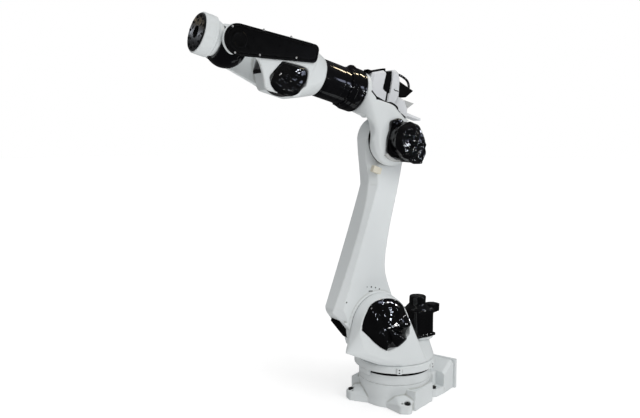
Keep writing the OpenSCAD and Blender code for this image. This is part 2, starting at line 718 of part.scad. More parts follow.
module wrist_yoke() color(white) in_wrist() difference() {
    union() {
        hull() {
            translate([-throat - 84, 0, 0]) rotate([0, -90, 0]) linear_extrude(cover_rear_x - throat - 64)
                yoke_section();
            translate([-throat - 20, 0, 0]) rotate([0, -90, 0]) linear_extrude(40)
                square([60, 2 * fork_half], center = true);
            translate([yoke_rear_x, 0, 0]) bar_x(0, 4 * prong_rim, tube_r + 4, $fn = 64);
        }
        slab(fork_half, yoke_half) near_cheek();
        slab(-yoke_half, -fork_half) far_cheek();
    }
    translate([-throat, -fork_half, -4 * prong_r]) cube([8 * prong_r, 2 * fork_half, 8 * prong_r]);
    bar_y(-2 * yoke_half, 2 * yoke_half, pivot_r);
    slab(window_floor_y, 2 * yoke_half) window_outline();
}
section_top = 70;
section_low = -110;
section_r = 66;
// Section of the yoke's body across the forearm, [up, side]
module yoke_section() {
    w = yoke_half - section_r;
    polygon(concat(
        arc([section_top, w], section_r, 0, 90, 8), arc([section_low, w], section_r, 90, 180, 8),
        arc([section_low, -w], section_r, 180, 270, 8), arc([section_top, -w], section_r, 270, 360, 8)));
}
module window_outline() {
    polygon(concat(
        arc([-300, -40], 20, 20, 100, 4), arc([-440, -36], 24, 90, 170, 4),
        arc([-440, -100], 26, 170, 240, 4), arc([-290, -160], 34, 250, 320, 4),
        arc([-254, -130], 26, 320, 380, 4)));
}

cover_inset = 4;
// How far the rear corners are squared
cover_square = 23;
module belt_outline() {
    hull() {
        circle(prong_r - cover_inset);
        for (side = [-1, 1]) translate([-cover_rear_x, cover_rear_z] + cover_square * [-1, side])
            circle(cover_rear_r - cover_square);
    }
}
module belt_cover() color(black) in_wrist() slab(yoke_half, yoke_half + cover_t) belt_outline();
module far_belt_cover() color(black) in_wrist() slab(-yoke_half - cover_t, -yoke_half) belt_outline();

// Motors of the wrist, in the window
bend_motor_at = [-305, 0, -112];
bend_motor_r = 44;
spin_motor_at = [-404, 0, -78];
spin_motor_r = 40;
module window_motor(r, top) {
    spin_y([[0, window_floor_y], [r, window_floor_y], [r, top - 8], [r - 8, top], [0, top]]);
}
module bend_motor() color(black) in_wrist() translate(bend_motor_at) window_motor(bend_motor_r, yoke_half - 8);
module spin_motor() color(black) in_wrist() translate(spin_motor_at) window_motor(spin_motor_r, yoke_half - 20);

// Wrist

module wrist_body() color(black) in_wrist() {
    intersection() {
        translate([0, 0, -wrist_drop]) sphere(wrist_r - wrist_drop);
        bar_y(free - fork_half, fork_half - free, wrist_r + 1);
        translate([-2 * wrist_r, -2 * wrist_r, -2 * wrist_r])
            cube([2 * wrist_r + neck_x, 4 * wrist_r, 4 * wrist_r]);
    }
    bar_y(2 - yoke_half, yoke_half - 2, pivot_r - run);
}
// The body hangs a little below the bend axis
wrist_drop = 20;
drum_lip = 8;
neck_len_x = 26;
drum_x = flange_reach - drum_lip - drum_len;
neck_x = drum_x - neck_len_x;
module wrist_neck() color(white) in_wrist() bar_x(neck_x, drum_x, drum_r - 10, drum_r - 16);
flange_t = 24;
module tool_drum() color(white) in_wrist() difference() {
    spin_x([[0, drum_x], [drum_r - 6, drum_x], [drum_r, drum_x + 6], [drum_r, drum_x + drum_len - 3],
        [drum_r - 3, drum_x + drum_len], [0, drum_x + drum_len]]);
    bar_x(flange_reach - flange_t - run, flange_reach, flange_r + run);
}

bore_depth = 12;
module tool_flange() color(dark) in_wrist() difference() {
    bar_x(flange_reach - flange_t, flange_reach, flange_r);
    bar_x(flange_reach - bore_depth, flange_reach + 1, flange_bore_r);
    for (k = [0 : 5]) rotate([60 * k, 0, 0]) translate([0, 0, flange_pcd / 2])
        bar_x(0, flange_reach + 1, flange_hole_r);
}

base_casting();
bearing_ring();
connector_box();
connector_panel();
foot_caps();
swivel_stop();
turntable();
swivel_frame();
stop_lug();
shoulder_motor();
swivel_motor_plate();
swivel_motor();
swivel_motor_plug();
lower_arm();
shoulder_bumper();
elbow_stop_block();
elbow_casting();
elbow_motor();
elbow_motor_box();
elbow_lip();
front_cover();
rear_cover();
cable_strap();
cable_duct();
cable_box();
cover_wedge();
rear_bracket();
roll_collar();
forearm_tube();
wrist_yoke();
belt_cover();
far_belt_cover();
bend_motor();
spin_motor();
wrist_body();
wrist_neck();
tool_drum();
tool_flange();
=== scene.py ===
# %% [markdown]
# # Dressing a six-axis robot arm
# The solids of the arm are already built, jointed and placed. This lesson gives them their looks:
# cast skins with soft edges, glossy black motors, belt covers, seams, screws and paint.
# Every piece is in metres, in the frame of the solids, so nothing has to be fitted by eye.

# %% Load the solids and keep their box
import json
import math

import bmesh
import bpy
import numpy as np
from mathutils import Matrix, Vector
from mathutils.bvhtree import BVHTree


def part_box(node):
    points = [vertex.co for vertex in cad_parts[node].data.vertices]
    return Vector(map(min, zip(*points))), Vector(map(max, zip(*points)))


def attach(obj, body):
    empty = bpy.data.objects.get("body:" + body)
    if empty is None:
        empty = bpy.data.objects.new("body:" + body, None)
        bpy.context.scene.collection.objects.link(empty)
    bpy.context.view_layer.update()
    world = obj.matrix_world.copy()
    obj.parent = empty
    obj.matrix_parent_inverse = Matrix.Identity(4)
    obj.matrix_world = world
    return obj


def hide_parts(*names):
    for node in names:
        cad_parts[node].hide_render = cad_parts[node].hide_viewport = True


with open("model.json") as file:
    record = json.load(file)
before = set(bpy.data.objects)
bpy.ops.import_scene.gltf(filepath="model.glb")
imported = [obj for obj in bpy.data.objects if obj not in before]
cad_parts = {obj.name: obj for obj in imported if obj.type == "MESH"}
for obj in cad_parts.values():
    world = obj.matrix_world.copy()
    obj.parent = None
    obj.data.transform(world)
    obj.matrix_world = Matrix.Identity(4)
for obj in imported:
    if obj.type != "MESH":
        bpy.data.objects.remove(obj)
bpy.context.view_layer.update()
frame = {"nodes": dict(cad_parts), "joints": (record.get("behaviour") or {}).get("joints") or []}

# %% [markdown]
# ## Where the links are
# A robot is described link by link: each link has an origin on its joint and three axes of its own.
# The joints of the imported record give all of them, so a screw can be placed in millimetres on the
# forearm although the forearm leans in space. The alternative, typing points of the whole scene,
# would go wrong as soon as one angle changed.

# %% Link frames from the joints
MM = 0.001
joint = {j["name"]: j for j in frame["joints"]}


def pivot(name):
    """The point that a joint turns about, in metres."""
    return np.array(joint[name]["pos_m"], float)


def unit(v):
    """A vector divided by its own length."""
    v = np.asarray(v, float)
    return v / np.linalg.norm(v)


ACROSS = unit(joint["shoulder_lean"]["axis"])
UP = np.array([0.0, 0.0, 1.0])
AHEAD = np.cross(ACROSS, UP)
ARM_UP = unit(pivot("elbow_lift") - pivot("shoulder_lean"))
REACH = unit(joint["roll_turn"]["axis"])
LIFT = np.cross(REACH, ACROSS)

GROUND = (np.zeros(3), np.eye(3))
SHOULDER = (pivot("shoulder_lean"), np.array([AHEAD, ACROSS, UP]))
LOWER = (pivot("shoulder_lean"), np.array([np.cross(ACROSS, ARM_UP), ACROSS, ARM_UP]))
UPPER = (pivot("elbow_lift"), np.array([REACH, ACROSS, LIFT]))
WRIST = (pivot("bend_swing"), np.array([REACH, ACROSS, LIFT]))


def on_link(link, points):
    """Points in millimetres on a link: its origin plus each coordinate along that link's axis."""
    origin, axes = link
    return origin + (np.asarray(points, float) * MM) @ axes


print("forearm climbs", round(math.degrees(math.asin(REACH[2])), 1), "degrees")

# %% [markdown]
# ## The paint and the other finishes
# The castings wear a cool off-white gloss enamel, slightly uneven, with orange peel in the surface
# and a darker colour where parts meet, which is partly dirt and partly painted shade. It could be
# one flat colour, but then a large casting looks like a plain toy. Here one node tree is shared by
# all the enamels: slow noise for the colour, quick noise for the roughness, very fine noise for the
# bump, and two attributes of the mesh, edge and crevice, for worn edges and for corners darkened
# with dirt and painted shade.

# %% A small helper for node trees
def tree_tools(tree):
    """Two functions for a node tree: one adds a node, one feeds a socket."""
    def add(kind, **inputs):
        """A node with values for its inputs, or for its own settings where the name starts with p_."""
        node = tree.nodes.new(kind)
        for key, value in inputs.items():
            if key.startswith("p_"):
                setattr(node, key[2:], value)
            else:
                node.inputs[key.replace("_", " ")].default_value = value
        return node

    def link(value, socket):
        """Feeds a socket with a number, a colour or the output of another node."""
        if isinstance(value, float):
            socket.default_value = value
        elif isinstance(value, tuple):
            socket.default_value = (*value, 1.0)
        else:
            tree.links.new(value, socket)

    return add, link


def new_material(name):
    """A new material: returns it, its Principled shader and the two functions for its tree."""
    made = bpy.data.materials.new(name)
    made.use_nodes = True
    return made, made.node_tree.nodes["Principled BSDF"], *tree_tools(made.node_tree)


def noise_at(add, link, coords, scale, detail=3.0, rough=0.5):
    """Noise of a given number of grains per metre on the object's own coordinates."""
    noise = add("ShaderNodeTexNoise", Scale=scale, Detail=detail, Roughness=rough)
    link(coords, noise.inputs["Vector"])
    return noise.outputs["Fac"]


def ranged(add, link, value, low, high, to_low, to_high):
    """A value carried from one range into another, and held at its ends."""
    step = add("ShaderNodeMapRange")
    link(value, step.inputs["Value"])
    for key, number in (("From Min", low), ("From Max", high), ("To Min", to_low), ("To Max", to_high)):
        link(number, step.inputs[key])
    return step.outputs["Result"]


def mixed(add, link, amount, first, second):
    """Two colours mixed by an amount."""
    mix = add("ShaderNodeMix", p_data_type="RGBA")
    for value, place in ((amount, 0), (first, 6), (second, 7)):
        link(value, mix.inputs[place])
    return mix.outputs[2]


def times(add, link, a, b):
    """The product of two values."""
    node = add("ShaderNodeMath", p_operation="MULTIPLY")
    link(a, node.inputs[0])
    link(b, node.inputs[1])
    return node.outputs[0]


print("node helpers ready")

# %% The enamel and moulded finishes
CLOUDS, PATCHES, SMEARS = 2.2, 38.0, 26.0  # grains per metre of the colour, the wear and the gloss
NOISE_SPAN, PATCH_SPAN = (0.3, 0.7), (0.42, 0.62)  # the part of the noise that is stretched to 0..1
# the second number is how far concave places are darkened: partly dirt, partly painted shade
PEEL_DEPTH, SHADE_AND_DIRT = 0.002, 0.6


def finish(name, tone, shade, worn, dirt_and_shade, gloss, peel, specular=0.5, metal=0.0, grain=420.0, wear=0.5):
    """Colour = slow noise between tone and shade, worn where the mesh is convex, darkened where it is
    concave, partly as dirt and partly as painted shade; roughness = quick noise in the range gloss;
    bump = fine noise of the strength peel."""
    made, shader, add, link = new_material(name)
    coords = add("ShaderNodeTexCoord").outputs["Object"]
    edge = add("ShaderNodeAttribute", p_attribute_name="edge").outputs["Fac"]
    crevice = add("ShaderNodeAttribute", p_attribute_name="crevice").outputs["Fac"]
    slow = ranged(add, link, noise_at(add, link, coords, CLOUDS), *NOISE_SPAN, 0.0, 1.0)
    patchy = ranged(add, link, noise_at(add, link, coords, PATCHES, 5.0, 0.65), *PATCH_SPAN, 0.0, 1.0)
    colour = mixed(add, link, slow, tone, shade)
    colour = mixed(add, link, times(add, link, times(add, link, edge, patchy), wear), colour, worn)
    # concave places darkened towards the fifth colour: partly dirt, partly painted shade
    colour = mixed(add, link, times(add, link, crevice, SHADE_AND_DIRT), colour, dirt_and_shade)
    link(colour, shader.inputs["Base Color"])
    quick = noise_at(add, link, coords, SMEARS, 6.0, 0.6)
    link(ranged(add, link, quick, *NOISE_SPAN, *gloss), shader.inputs["Roughness"])
    bump = add("ShaderNodeBump", Strength=peel, Distance=PEEL_DEPTH)
    link(noise_at(add, link, coords, grain, 2.0), bump.inputs["Height"])
    link(bump.outputs["Normal"], shader.inputs["Normal"])
    link(metal, shader.inputs["Metallic"])
    link(specular, shader.inputs["Specular IOR Level"])
    return made


def grey(level):
    """A neutral colour."""
    return (level, level, level)


# each finish's fifth colour is painted into concave places: partly dirt, partly painted shade
white_enamel = finish("white_enamel", (0.735, 0.768, 0.775), (0.675, 0.708, 0.715), (0.58, 0.59, 0.58),
                      (0.16, 0.155, 0.10), (0.34, 0.48), 0.05, specular=0.4)
cover_enamel = finish("cover_enamel", (0.74, 0.755, 0.775), (0.68, 0.70, 0.72), (0.6, 0.6, 0.61),
                      (0.18, 0.17, 0.13), (0.36, 0.52), 0.06, specular=0.4)
black_enamel = finish("black_enamel", (0.0016, 0.0016, 0.0022), (0.003, 0.003, 0.004),
                      (0.012, 0.012, 0.014), grey(0.001), (0.07, 0.13), 0.008, grain=160.0, wear=0.3)
motor_film = finish("motor_film", (0.0012, 0.0012, 0.0016), (0.0024, 0.0024, 0.003), (0.01, 0.01, 0.011),
                    grey(0.001), (0.05, 0.1), 0.012, grain=60.0, wear=0.3)
cover_black = finish("cover_black", (0.0009, 0.0009, 0.0011), (0.0016, 0.0016, 0.0019),
                     (0.012, 0.012, 0.013), grey(0.0006), (0.26, 0.38), 0.05, specular=0.12,
                     grain=900.0, wear=0.3)
rubber = finish("rubber", grey(0.0012), grey(0.002), grey(0.008),
                grey(0.0008), (0.5, 0.7), 0.1, specular=0.06, grain=1200.0, wear=0.3)
cap_plastic = finish("cap_plastic", grey(0.004), grey(0.007), grey(0.02),
                     grey(0.003), (0.3, 0.5), 0.15, specular=0.3, grain=1500.0, wear=0.4)
stop_urethane = finish("stop_urethane", (0.72, 0.68, 0.56), (0.64, 0.60, 0.48), (0.75, 0.72, 0.62),
                       (0.25, 0.22, 0.15), (0.45, 0.6), 0.1, grain=300.0)
grey_enamel = finish("grey_enamel", (0.46, 0.47, 0.46), (0.40, 0.41, 0.40), grey(0.55),
                     (0.12, 0.12, 0.1), (0.35, 0.5), 0.08)
black_steel = finish("black_steel", (0.003, 0.003, 0.004), (0.006, 0.006, 0.007), grey(0.05),
                     grey(0.001), (0.1, 0.2), 0.012, grain=300.0, wear=0.4)
zinc = finish("zinc", grey(0.62), (0.48, 0.48, 0.49), grey(0.75),
              (0.08, 0.08, 0.07), (0.3, 0.45), 0.06, metal=0.6, grain=900.0)
print("finishes:", len(bpy.data.materials))

# %% Looks: the slot of a piece and the finish that stands in it
WHITE, COVER = ("casting_white", white_enamel), ("cover_white", cover_enamel)
GREY, ZINC = ("bracket_grey", grey_enamel), ("bracket_grey", zinc)
TUBE, FILM = ("tube_black", black_enamel), ("motor_black", motor_film)
BELT, STEEL = ("belt_cover_black", cover_black), ("flange_dark", black_steel)
BLACK, CAP, CREAM = ("bumper_black", rubber), ("cap_black", cap_plastic), ("stop_cream", stop_urethane)
BODY_BLACK, ROD_BLACK = ("motor_black", black_enamel), ("bumper_black", black_enamel)
print("looks named, with", len(bpy.data.materials), "finishes")

# %% [markdown]
# ## Cast skins
# The castings leave the foundry with generous round edges, which a plain solid lacks. A bevel would
# need clean edges, and these solids are many small triangles. So a copy of a solid is merged, cut
# into even cells, and relaxed: each point moves towards the mean of its neighbours, which rounds
# every edge by about the size of a few cells. The same sums tell how sharply the skin bends, and
# that is kept as the two attributes that the paint reads.

# %% The skin maker
def neighbour_mean(points, pairs):
    """For every point the mean of the points that an edge joins it to: two sums per axis."""
    count = np.bincount(pairs.ravel(), minlength=len(points))
    total = np.zeros_like(points)
    for k in range(3):
        total[:, k] = np.bincount(pairs[:, 0], points[pairs[:, 1], k], len(points))
        total[:, k] += np.bincount(pairs[:, 1], points[pairs[:, 0], k], len(points))
    return total / np.maximum(count, 1)[:, None]


def mesh_arrays(mesh):
    """The points and the edge pairs of a mesh as arrays."""
    points = np.empty(len(mesh.vertices) * 3)
    mesh.vertices.foreach_get("co", points)
    pairs = np.empty(len(mesh.edges) * 2, np.int32)
    mesh.edges.foreach_get("vertices", pairs)
    return points.reshape(-1, 3), pairs.reshape(-1, 2)


BEND_REACH, BEND_FULL, BEND_LEAST = 6, 0.5, 0.12


def mark_bends(mesh):
    """Writes edge and crevice: how far each point stands out of, or lies below, the mean of its
    surroundings, as a share of the mesh's mean edge."""
    points, pairs = mesh_arrays(mesh)
    around = points
    for _ in range(BEND_REACH):
        around = neighbour_mean(around, pairs)
    normals = np.empty(len(points) * 3)
    mesh.vertices.foreach_get("normal", normals)
    stands_out = ((points - around) * normals.reshape(-1, 3)).sum(1)
    step = np.linalg.norm(points[pairs[:, 0]] - points[pairs[:, 1]], axis=1).mean()
    for name, value in (("edge", stands_out), ("crevice", -stands_out)):
        layer = mesh.attributes.new(name, "FLOAT", "POINT")
        share = np.clip(value / (BEND_FULL * step) - BEND_LEAST, 0, 1)
        layer.data.foreach_set("value", share.astype(np.float32))


def in_scene(name, data):
    """A new object in the scene for a mesh, a lamp or a lens."""
    obj = bpy.data.objects.new(name, data)
    bpy.context.scene.collection.objects.link(obj)
    return obj


def dressed(name, mesh, body, look, *nodes):
    """A finished mesh as a piece: its bends are marked, and it gets its finish and the body it rides on;
    the solids it stands for are hidden. The slot in the look is not used."""
    slot, material = look
    mark_bends(mesh)
    mesh.materials.clear()
    mesh.materials.append(material)
    obj = in_scene(name, mesh)
    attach(obj, body)
    if nodes:
        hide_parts(*nodes)
    print("piece", name, len(mesh.polygons), "faces")
    return obj


def folded(points, seed, size, count=4):
    """Folds of a stretched cover, from -1 to 1: the mean of triangle waves, each along a direction of
    its own and bent a little by a slow sine, and a finer set of them at a third of the size. A
    triangle wave has flat flanks and sharp ridges."""
    draw = np.random.default_rng(seed)
    total = np.zeros(len(points))
    for scale, weight in ((size, 0.9), (size / 3, 0.1)):
        ways = draw.normal(size=(3, count))
        ways /= np.linalg.norm(ways, axis=0)
        waves = draw.uniform(0.5, 1.5, count) / scale
        bends = np.sin(points @ draw.normal(size=(3, count)) / scale + draw.uniform(0, 6, count))
        phase = points @ ways * waves + 0.3 * bends + draw.uniform(0, 2, count)
        total += weight * (2 * np.abs(phase % 2 - 1) - 1).mean(1)
    return total


def relaxed(points, pairs, passes):
    """Points moved half the way to their neighbours' mean, and every second time a quarter back."""
    for turn in range(passes):
        share = 0.5 if turn % 2 == 0 else -0.25
        points = points + share * (neighbour_mean(points, pairs) - points)
    return points


MERGE_M, LAST_PASSES = 2e-5, 8


def cast_skin(name, nodes, body, look, cell, passes, folds=None, shape=None):
    """A merged copy of one or more solids in cells of the given millimetres, relaxed. A shape is a
    function that gives the points new places, which are then relaxed once more. With folds of
    (seed, depth, size) in millimetres, each point then moves along its normal by the folds there."""
    cleaner = bmesh.new()
    for node in nodes:
        cleaner.from_mesh(frame["nodes"][node].data)
    bmesh.ops.remove_doubles(cleaner, verts=cleaner.verts, dist=MERGE_M)
    mesh = bpy.data.meshes.new("raw_" + name)
    cleaner.to_mesh(mesh)
    cleaner.free()
    raw = in_scene("raw_" + name, mesh)
    cells = raw.modifiers.new("cells", "REMESH")
    cells.mode = "VOXEL"
    cells.voxel_size = cell * MM
    cells.use_smooth_shade = True
    shaped = raw.evaluated_get(bpy.context.evaluated_depsgraph_get())
    skin = bpy.data.meshes.new_from_object(shaped)
    bpy.data.objects.remove(raw)
    points, pairs = mesh_arrays(skin)
    points = relaxed(points, pairs, passes)
    if shape:
        points = relaxed(shape(points), pairs, LAST_PASSES)
    skin.vertices.foreach_set("co", points.ravel())
    skin.update()
    if folds:
        seed, depth, size = folds
        normals = np.empty(len(points) * 3)
        skin.vertices.foreach_get("normal", normals)
        lift = depth * MM * folded(points / MM, seed, size)
        skin.vertices.foreach_set("co", (points + normals.reshape(-1, 3) * lift[:, None]).ravel())
        skin.update()
    skin.name = name
    return dressed(name, skin, body, look, *nodes)


# %% The castings of every link
CASTINGS = {  # of every body: solid, look, cell in millimetres, passes
    "base": [
        ("base_casting", WHITE, 4.0, 8),
        ("connector_box", WHITE, 4.0, 5),
        ("connector_panel", WHITE, 3.0, 4),
        ("bearing_ring", WHITE, 4.0, 5),
        ("swivel_stop", WHITE, 2.5, 4),
    ],
    "swivel": [
        ("turntable", WHITE, 3.6, 5),
        ("swivel_frame", WHITE, 4.2, 10),
        ("stop_lug", WHITE, 2.5, 4),
        ("swivel_motor_plate", WHITE, 2.5, 4),
    ],
    "lower_link": [
        ("lower_arm", WHITE, 4.4, 8),
        ("shoulder_bumper", BLACK, 2.0, 5),
        ("elbow_stop_block", CREAM, 2.0, 6),
    ],
    "upper_link": [
        ("elbow_lip", GREY, 2.0, 4),
        ("front_cover", COVER, 3.0, 4),
        ("rear_cover", COVER, 3.0, 4),
        ("cable_strap", COVER, 3.0, 4),
        ("cable_duct", BLACK, 3.0, 5),
        ("cable_box", BLACK, 3.0, 5),
        ("cover_wedge", GREY, 2.0, 4),
        ("rear_bracket", COVER, 1.5, 4),
    ],
    "forearm_link": [
        ("wrist_yoke", WHITE, 4.0, 44),
    ],
    "wrist_link": [
        ("wrist_body", BODY_BLACK, 3.5, 6),
    ],
    "flange_link": [
        ("tool_flange", STEEL, 1.8, 4),
    ],
}
skins = {}
for body, castings in CASTINGS.items():
    for node, *making in castings:
        skins[node] = cast_skin(node + "_skin", [node], body, *making)
print("castings:", len(skins))

# %% [markdown]
# ## The elbow casting
# The elbow's neck is a round tube that swells into the hub. Its solid is a hull between the two,
# which hangs too low under the roll collar. The skin is therefore lifted there: points below a floor
# move up to it, and the floor slopes from the round neck on the far side to the hub on the near side.

# %% Round neck of the elbow
NECK_FLOOR = np.array([(40, -200), (52, -60), (62, 25), (83, 67), (109, 89), (133, 102), (169, 115),
                       (204, 123), (233, 128)], float)
FLOOR_AHEAD, FLOOR_DROP, FLOOR_FAR = 0.727, 0.239, -60.0


def round_neck(points):
    """Height = the larger of the point's own and the floor's. The floor is one curve over x that moves
    ahead and down by a share of y, from the far side to the near one."""
    origin, axes = UPPER
    x, y, z = ((points - origin) / MM @ axes.T).T
    across = np.maximum(y, FLOOR_FAR)
    floor = np.interp(x - FLOOR_AHEAD * across, *NECK_FLOOR.T) - FLOOR_DROP * across
    return on_link(UPPER, np.stack([x, y, np.maximum(z, floor)], -1))


elbow = cast_skin("elbow_casting_skin", ["elbow_casting"], "upper_link", WHITE, 4.2, 40, shape=round_neck)

# %% [markdown]
# ## Motors under their covers
# The motors wear tight glossy covers with sharp creases, which break the lamps' reflections into
# many small glints. Two of them stand free, and their solids already have the right outline, so they
# are skins as above, with folds added along the normals. The other two close a window in a casting:
# those are domes over the window's own outline, made further down.

# %% The free motors
cast_skin("elbow_motor_cover", ["elbow_motor", "elbow_motor_box"], "upper_link", FILM, 2.6, 14,
          folds=(11, 17.0, 52.0))
cast_skin("swivel_motor_cover", ["swivel_motor", "swivel_motor_plug"], "swivel", FILM, 2.6, 6,
          folds=(4, 4.0, 60.0))

# %% [markdown]
# ## Turned, drawn and domed pieces
# The other new pieces are worked out as rows of points. A turned piece is a profile swung about an
# axis, a drawn one is a section carried along a path, and a dome is an outline shrunk towards its
# middle while it rises. All three give a table of points, ring after ring, and one function makes a
# closed skin from such a table.

# %% From rows of points to a piece
def rolled(rows):
    """A closed skin from a table of rings: neighbouring rings are joined by four-sided faces, and the
    first and last ring are closed towards their middle points."""
    count, around = rows.shape[:2]
    index = np.arange(count * around).reshape(count, around)
    after = np.roll(index, -1, 1)
    quads = np.stack([index[:-1], after[:-1], after[1:], index[1:]], -1).reshape(-1, 4)
    ends = [np.stack([np.full(around, count * around + k), a, b], -1)
            for k, (a, b) in enumerate(((after[0], index[0]), (index[-1], after[-1])))]
    return np.concatenate([rows.reshape(-1, 3), rows[[0, -1]].mean(1)]), quads, np.concatenate(ends)


def piece(name, shells, link, body, look, *nodes, crease=38.0):
    """One object from closed skins in millimetres on a link, with its faces turned outwards."""
    points, faces, first = [], [], 0
    for shell_points, quads, ends in shells:
        points.append(shell_points)
        faces += (quads + first).tolist() + (ends + first).tolist()
        first += len(shell_points)
    mesh = bpy.data.meshes.new(name)
    mesh.from_pydata(on_link(link, np.concatenate(points)).tolist(), [], faces)
    turner = bmesh.new()
    turner.from_mesh(mesh)
    bmesh.ops.remove_doubles(turner, verts=turner.verts, dist=1e-6)
    bmesh.ops.recalc_face_normals(turner, faces=turner.faces)
    turner.to_mesh(mesh)
    turner.free()
    mesh.polygons.foreach_set("use_smooth", np.ones(len(mesh.polygons), bool))
    mesh.set_sharp_from_angle(angle=math.radians(crease))
    return dressed(name, mesh, body, look, *nodes)


def rings(along, reach, t, axis):
    """Points about an axis of the link: along on that axis, reach * cos t and reach * sin t on the
    next two."""
    points = np.stack(np.broadcast_arrays(along, reach * np.cos(t), reach * np.sin(t)), -1)
    return np.roll(points, axis, -1)


def turned(profile, centre=(0.0, 0.0, 0.0), axis=0, around=96):
    """A profile of (along, radius) swung about an axis of the link: every profile point is a ring."""
    profile = np.asarray(profile, float)
    t = np.linspace(0, 2 * np.pi, around, endpoint=False)
    return rolled(rings(profile[:, :1], profile[:, 1:], t, axis) + np.asarray(centre, float))


def soft(points, radius, steps=4):
    """An open line with round corners: each corner becomes a parabola between the two points that lie
    radius away from it on its sides, or somewhat less than half a side."""
    points = np.asarray(points, float)
    corner = points[1:-1]
    ends = []
    for other in (points[:-2], points[2:]):
        way = other - corner
        far = np.linalg.norm(way, axis=1, keepdims=True)
        ends.append(corner + way / far * np.minimum(radius, 0.45 * far))
    t = np.linspace(0, 1, steps + 1)[:, None, None]
    arcs = (1 - t) ** 2 * ends[0] + 2 * t * (1 - t) * corner + t ** 2 * ends[1]
    arcs = arcs.transpose(1, 0, 2).reshape(-1, points.shape[1])
    return np.concatenate([points[:1], arcs, points[-1:]])


def stepped(line, step):
    """Points at even steps along an open line, and with it any further columns that it carries."""
    line = np.asarray(line, float)
    way = np.concatenate([[0], np.cumsum(np.linalg.norm(np.diff(line[:, :3], axis=0), axis=1))])
    at = np.linspace(0, way[-1], max(2, int(way[-1] / step) + 1))
    return np.stack([np.interp(at, way, column) for column in line.T], -1)


def drawn(path, section, side):
    """A closed section carried along a path: each ring is the path's point + a * side + b * out, with
    out square to side and to the path's direction. A fourth column of the path scales b."""
    path = np.asarray(path, float)
    way = np.gradient(path[:, :3], axis=0)
    way /= np.linalg.norm(way, axis=1, keepdims=True)
    side = side - (way @ np.asarray(side, float))[:, None] * way
    side /= np.linalg.norm(side, axis=1, keepdims=True)
    out = np.cross(way, side)
    wide = path[:, 3] if path.shape[1] > 3 else np.ones(len(path))
    a, b = np.asarray(section, float).T
    rows = path[:, None, :3] + a[:, None] * side[:, None] + (b * wide[:, None])[..., None] * out[:, None]
    return rolled(rows)


def round_section(radius, around=14):
    """A circle as a section."""
    t = np.linspace(0, 2 * np.pi, around, endpoint=False)
    return radius * np.stack([np.cos(t), np.sin(t)], -1)


def flat_section(low, high, half, edge=1.2):
    """A bar's section from low to high and half to either side, with its upper edges cut."""
    return np.array([(low, -half), (high - edge, -half), (high, edge - half), (high, half - edge),
                     (high - edge, half), (low, half)])


print("makers ready")

# %% Screws and plugs
def socket_screw(at, radius, height, axis=0):
    """A cap screw: a turned head whose socket has six sides; the inner rings' radius is that of a
    hexagon, cos 30 / cos of the angle from the middle of a side."""
    t = np.linspace(0, 2 * np.pi, 24, endpoint=False)
    hexagon = math.cos(math.pi / 6) / np.cos((t % (np.pi / 3)) - np.pi / 6)
    profile = np.array([(-0.4, 1.0, 0), (0.8, 1.0, 0), (1.0, 0.88, 0),
                        (1.0, 0.58, 1), (0.45, 0.55, 1), (0.4, 0.1, 1)])  # height, radius, in the socket
    reach = radius * profile[:, 1:2] * np.where(profile[:, 2:] > 0, hexagon, 1.0)
    return rolled(rings(height * profile[:, :1], reach, t, axis) + np.asarray(at, float))


def domed_plug(at, radius, height, axis=0, around=20):
    """A low round head: a quarter of an ellipse swung about the axis."""
    t = np.linspace(0, 0.47 * np.pi, 5)  # ends just short of the pole, which is closed by a fan
    profile = [(-height, radius)] + np.stack([height * np.sin(t), radius * np.cos(t)], -1).tolist()
    return turned(profile, at, axis, around)


def spread(middle, radius, count, first, axis):
    """Places at even angles on a circle about an axis through the middle."""
    t = np.radians(first) + np.arange(count) * 2 * np.pi / count
    return np.asarray(middle, float) + rings(0.0, radius, t, axis)


print("screws ready")

# %% [markdown]
# ## Covers over the motors' windows
# Behind the round opening of the shoulder and the window of the wrist sit motors in tight glossy
# covers. A cover starts flush with the edge of its opening and bulges over the motor. Modelling the
# motor and letting a cloth fall on it would also do; a dome with folds is steadier and has the same
# look. The outline is convex, so it can be written as one distance for each direction. Where the
# face round an opening isn't flat, rays tell how far out it stands.

# %% The dome maker
def reach_of(corners, t, blend=22.0):
    """How far a convex outline reaches from its middle in the directions t: the least distance at
    which the ray meets a side's line. A high power mean instead of the least rounds the corners."""
    a = np.asarray(corners, float)
    b = np.roll(a, -1, 0)
    normal = np.stack([b[:, 1] - a[:, 1], a[:, 0] - b[:, 0]], -1)
    facing = normal @ np.stack([np.cos(t), np.sin(t)])
    nearness = np.maximum(facing, 0) / (normal * a).sum(1)[:, None]
    return (nearness ** blend).sum(0) ** (-1 / blend)


BACK_RINGS, FRONT_RINGS, WALL = 5, 110, 0.985


def domed(reach, t, middle, low, rim, rise, power, folds, axis=1, lip=1.0):
    """A cover over an outline: back at low, wall up to rim, front at rim + rise * (1 - s ** power),
    with s the share of the way from the middle to the outline. A rim that differs by direction fades
    to its mean in the middle. Folds only raise the front, and fade out at the edge; lip is how far past
    the outline the front starts."""
    back = np.linspace(0.03, WALL, BACK_RINGS)
    front = np.concatenate([[WALL], lip * np.linspace(1.0, 0.004, FRONT_RINGS) ** 0.8])
    s = np.concatenate([back, front])[:, None] * np.ones(len(t))
    inside = np.minimum(s, 1.0)
    plane = np.mean(rim) + (rim - np.mean(rim)) * inside
    height = plane + rise * (1 - inside ** power)
    height[:BACK_RINGS] = low
    height[BACK_RINGS] = np.minimum(rim - 2.0, height[BACK_RINGS + 1])
    rows = rings(height, s * reach, t, axis) + np.roll([0.0, *middle], axis)
    seed, depth, size = folds
    wave = 0.5 + 0.5 * folded(rows.reshape(-1, 3), seed, size).reshape(s.shape)
    rows[BACK_RINGS + 1:, :, axis] += depth * ((1 - inside ** 12) * wave)[BACK_RINGS + 1:]
    return rolled(rows)


print("dome maker ready")

# %% Where a skin's surface lies
RAY_START_MM, RAY_LENGTH_M = 400.0, 0.6


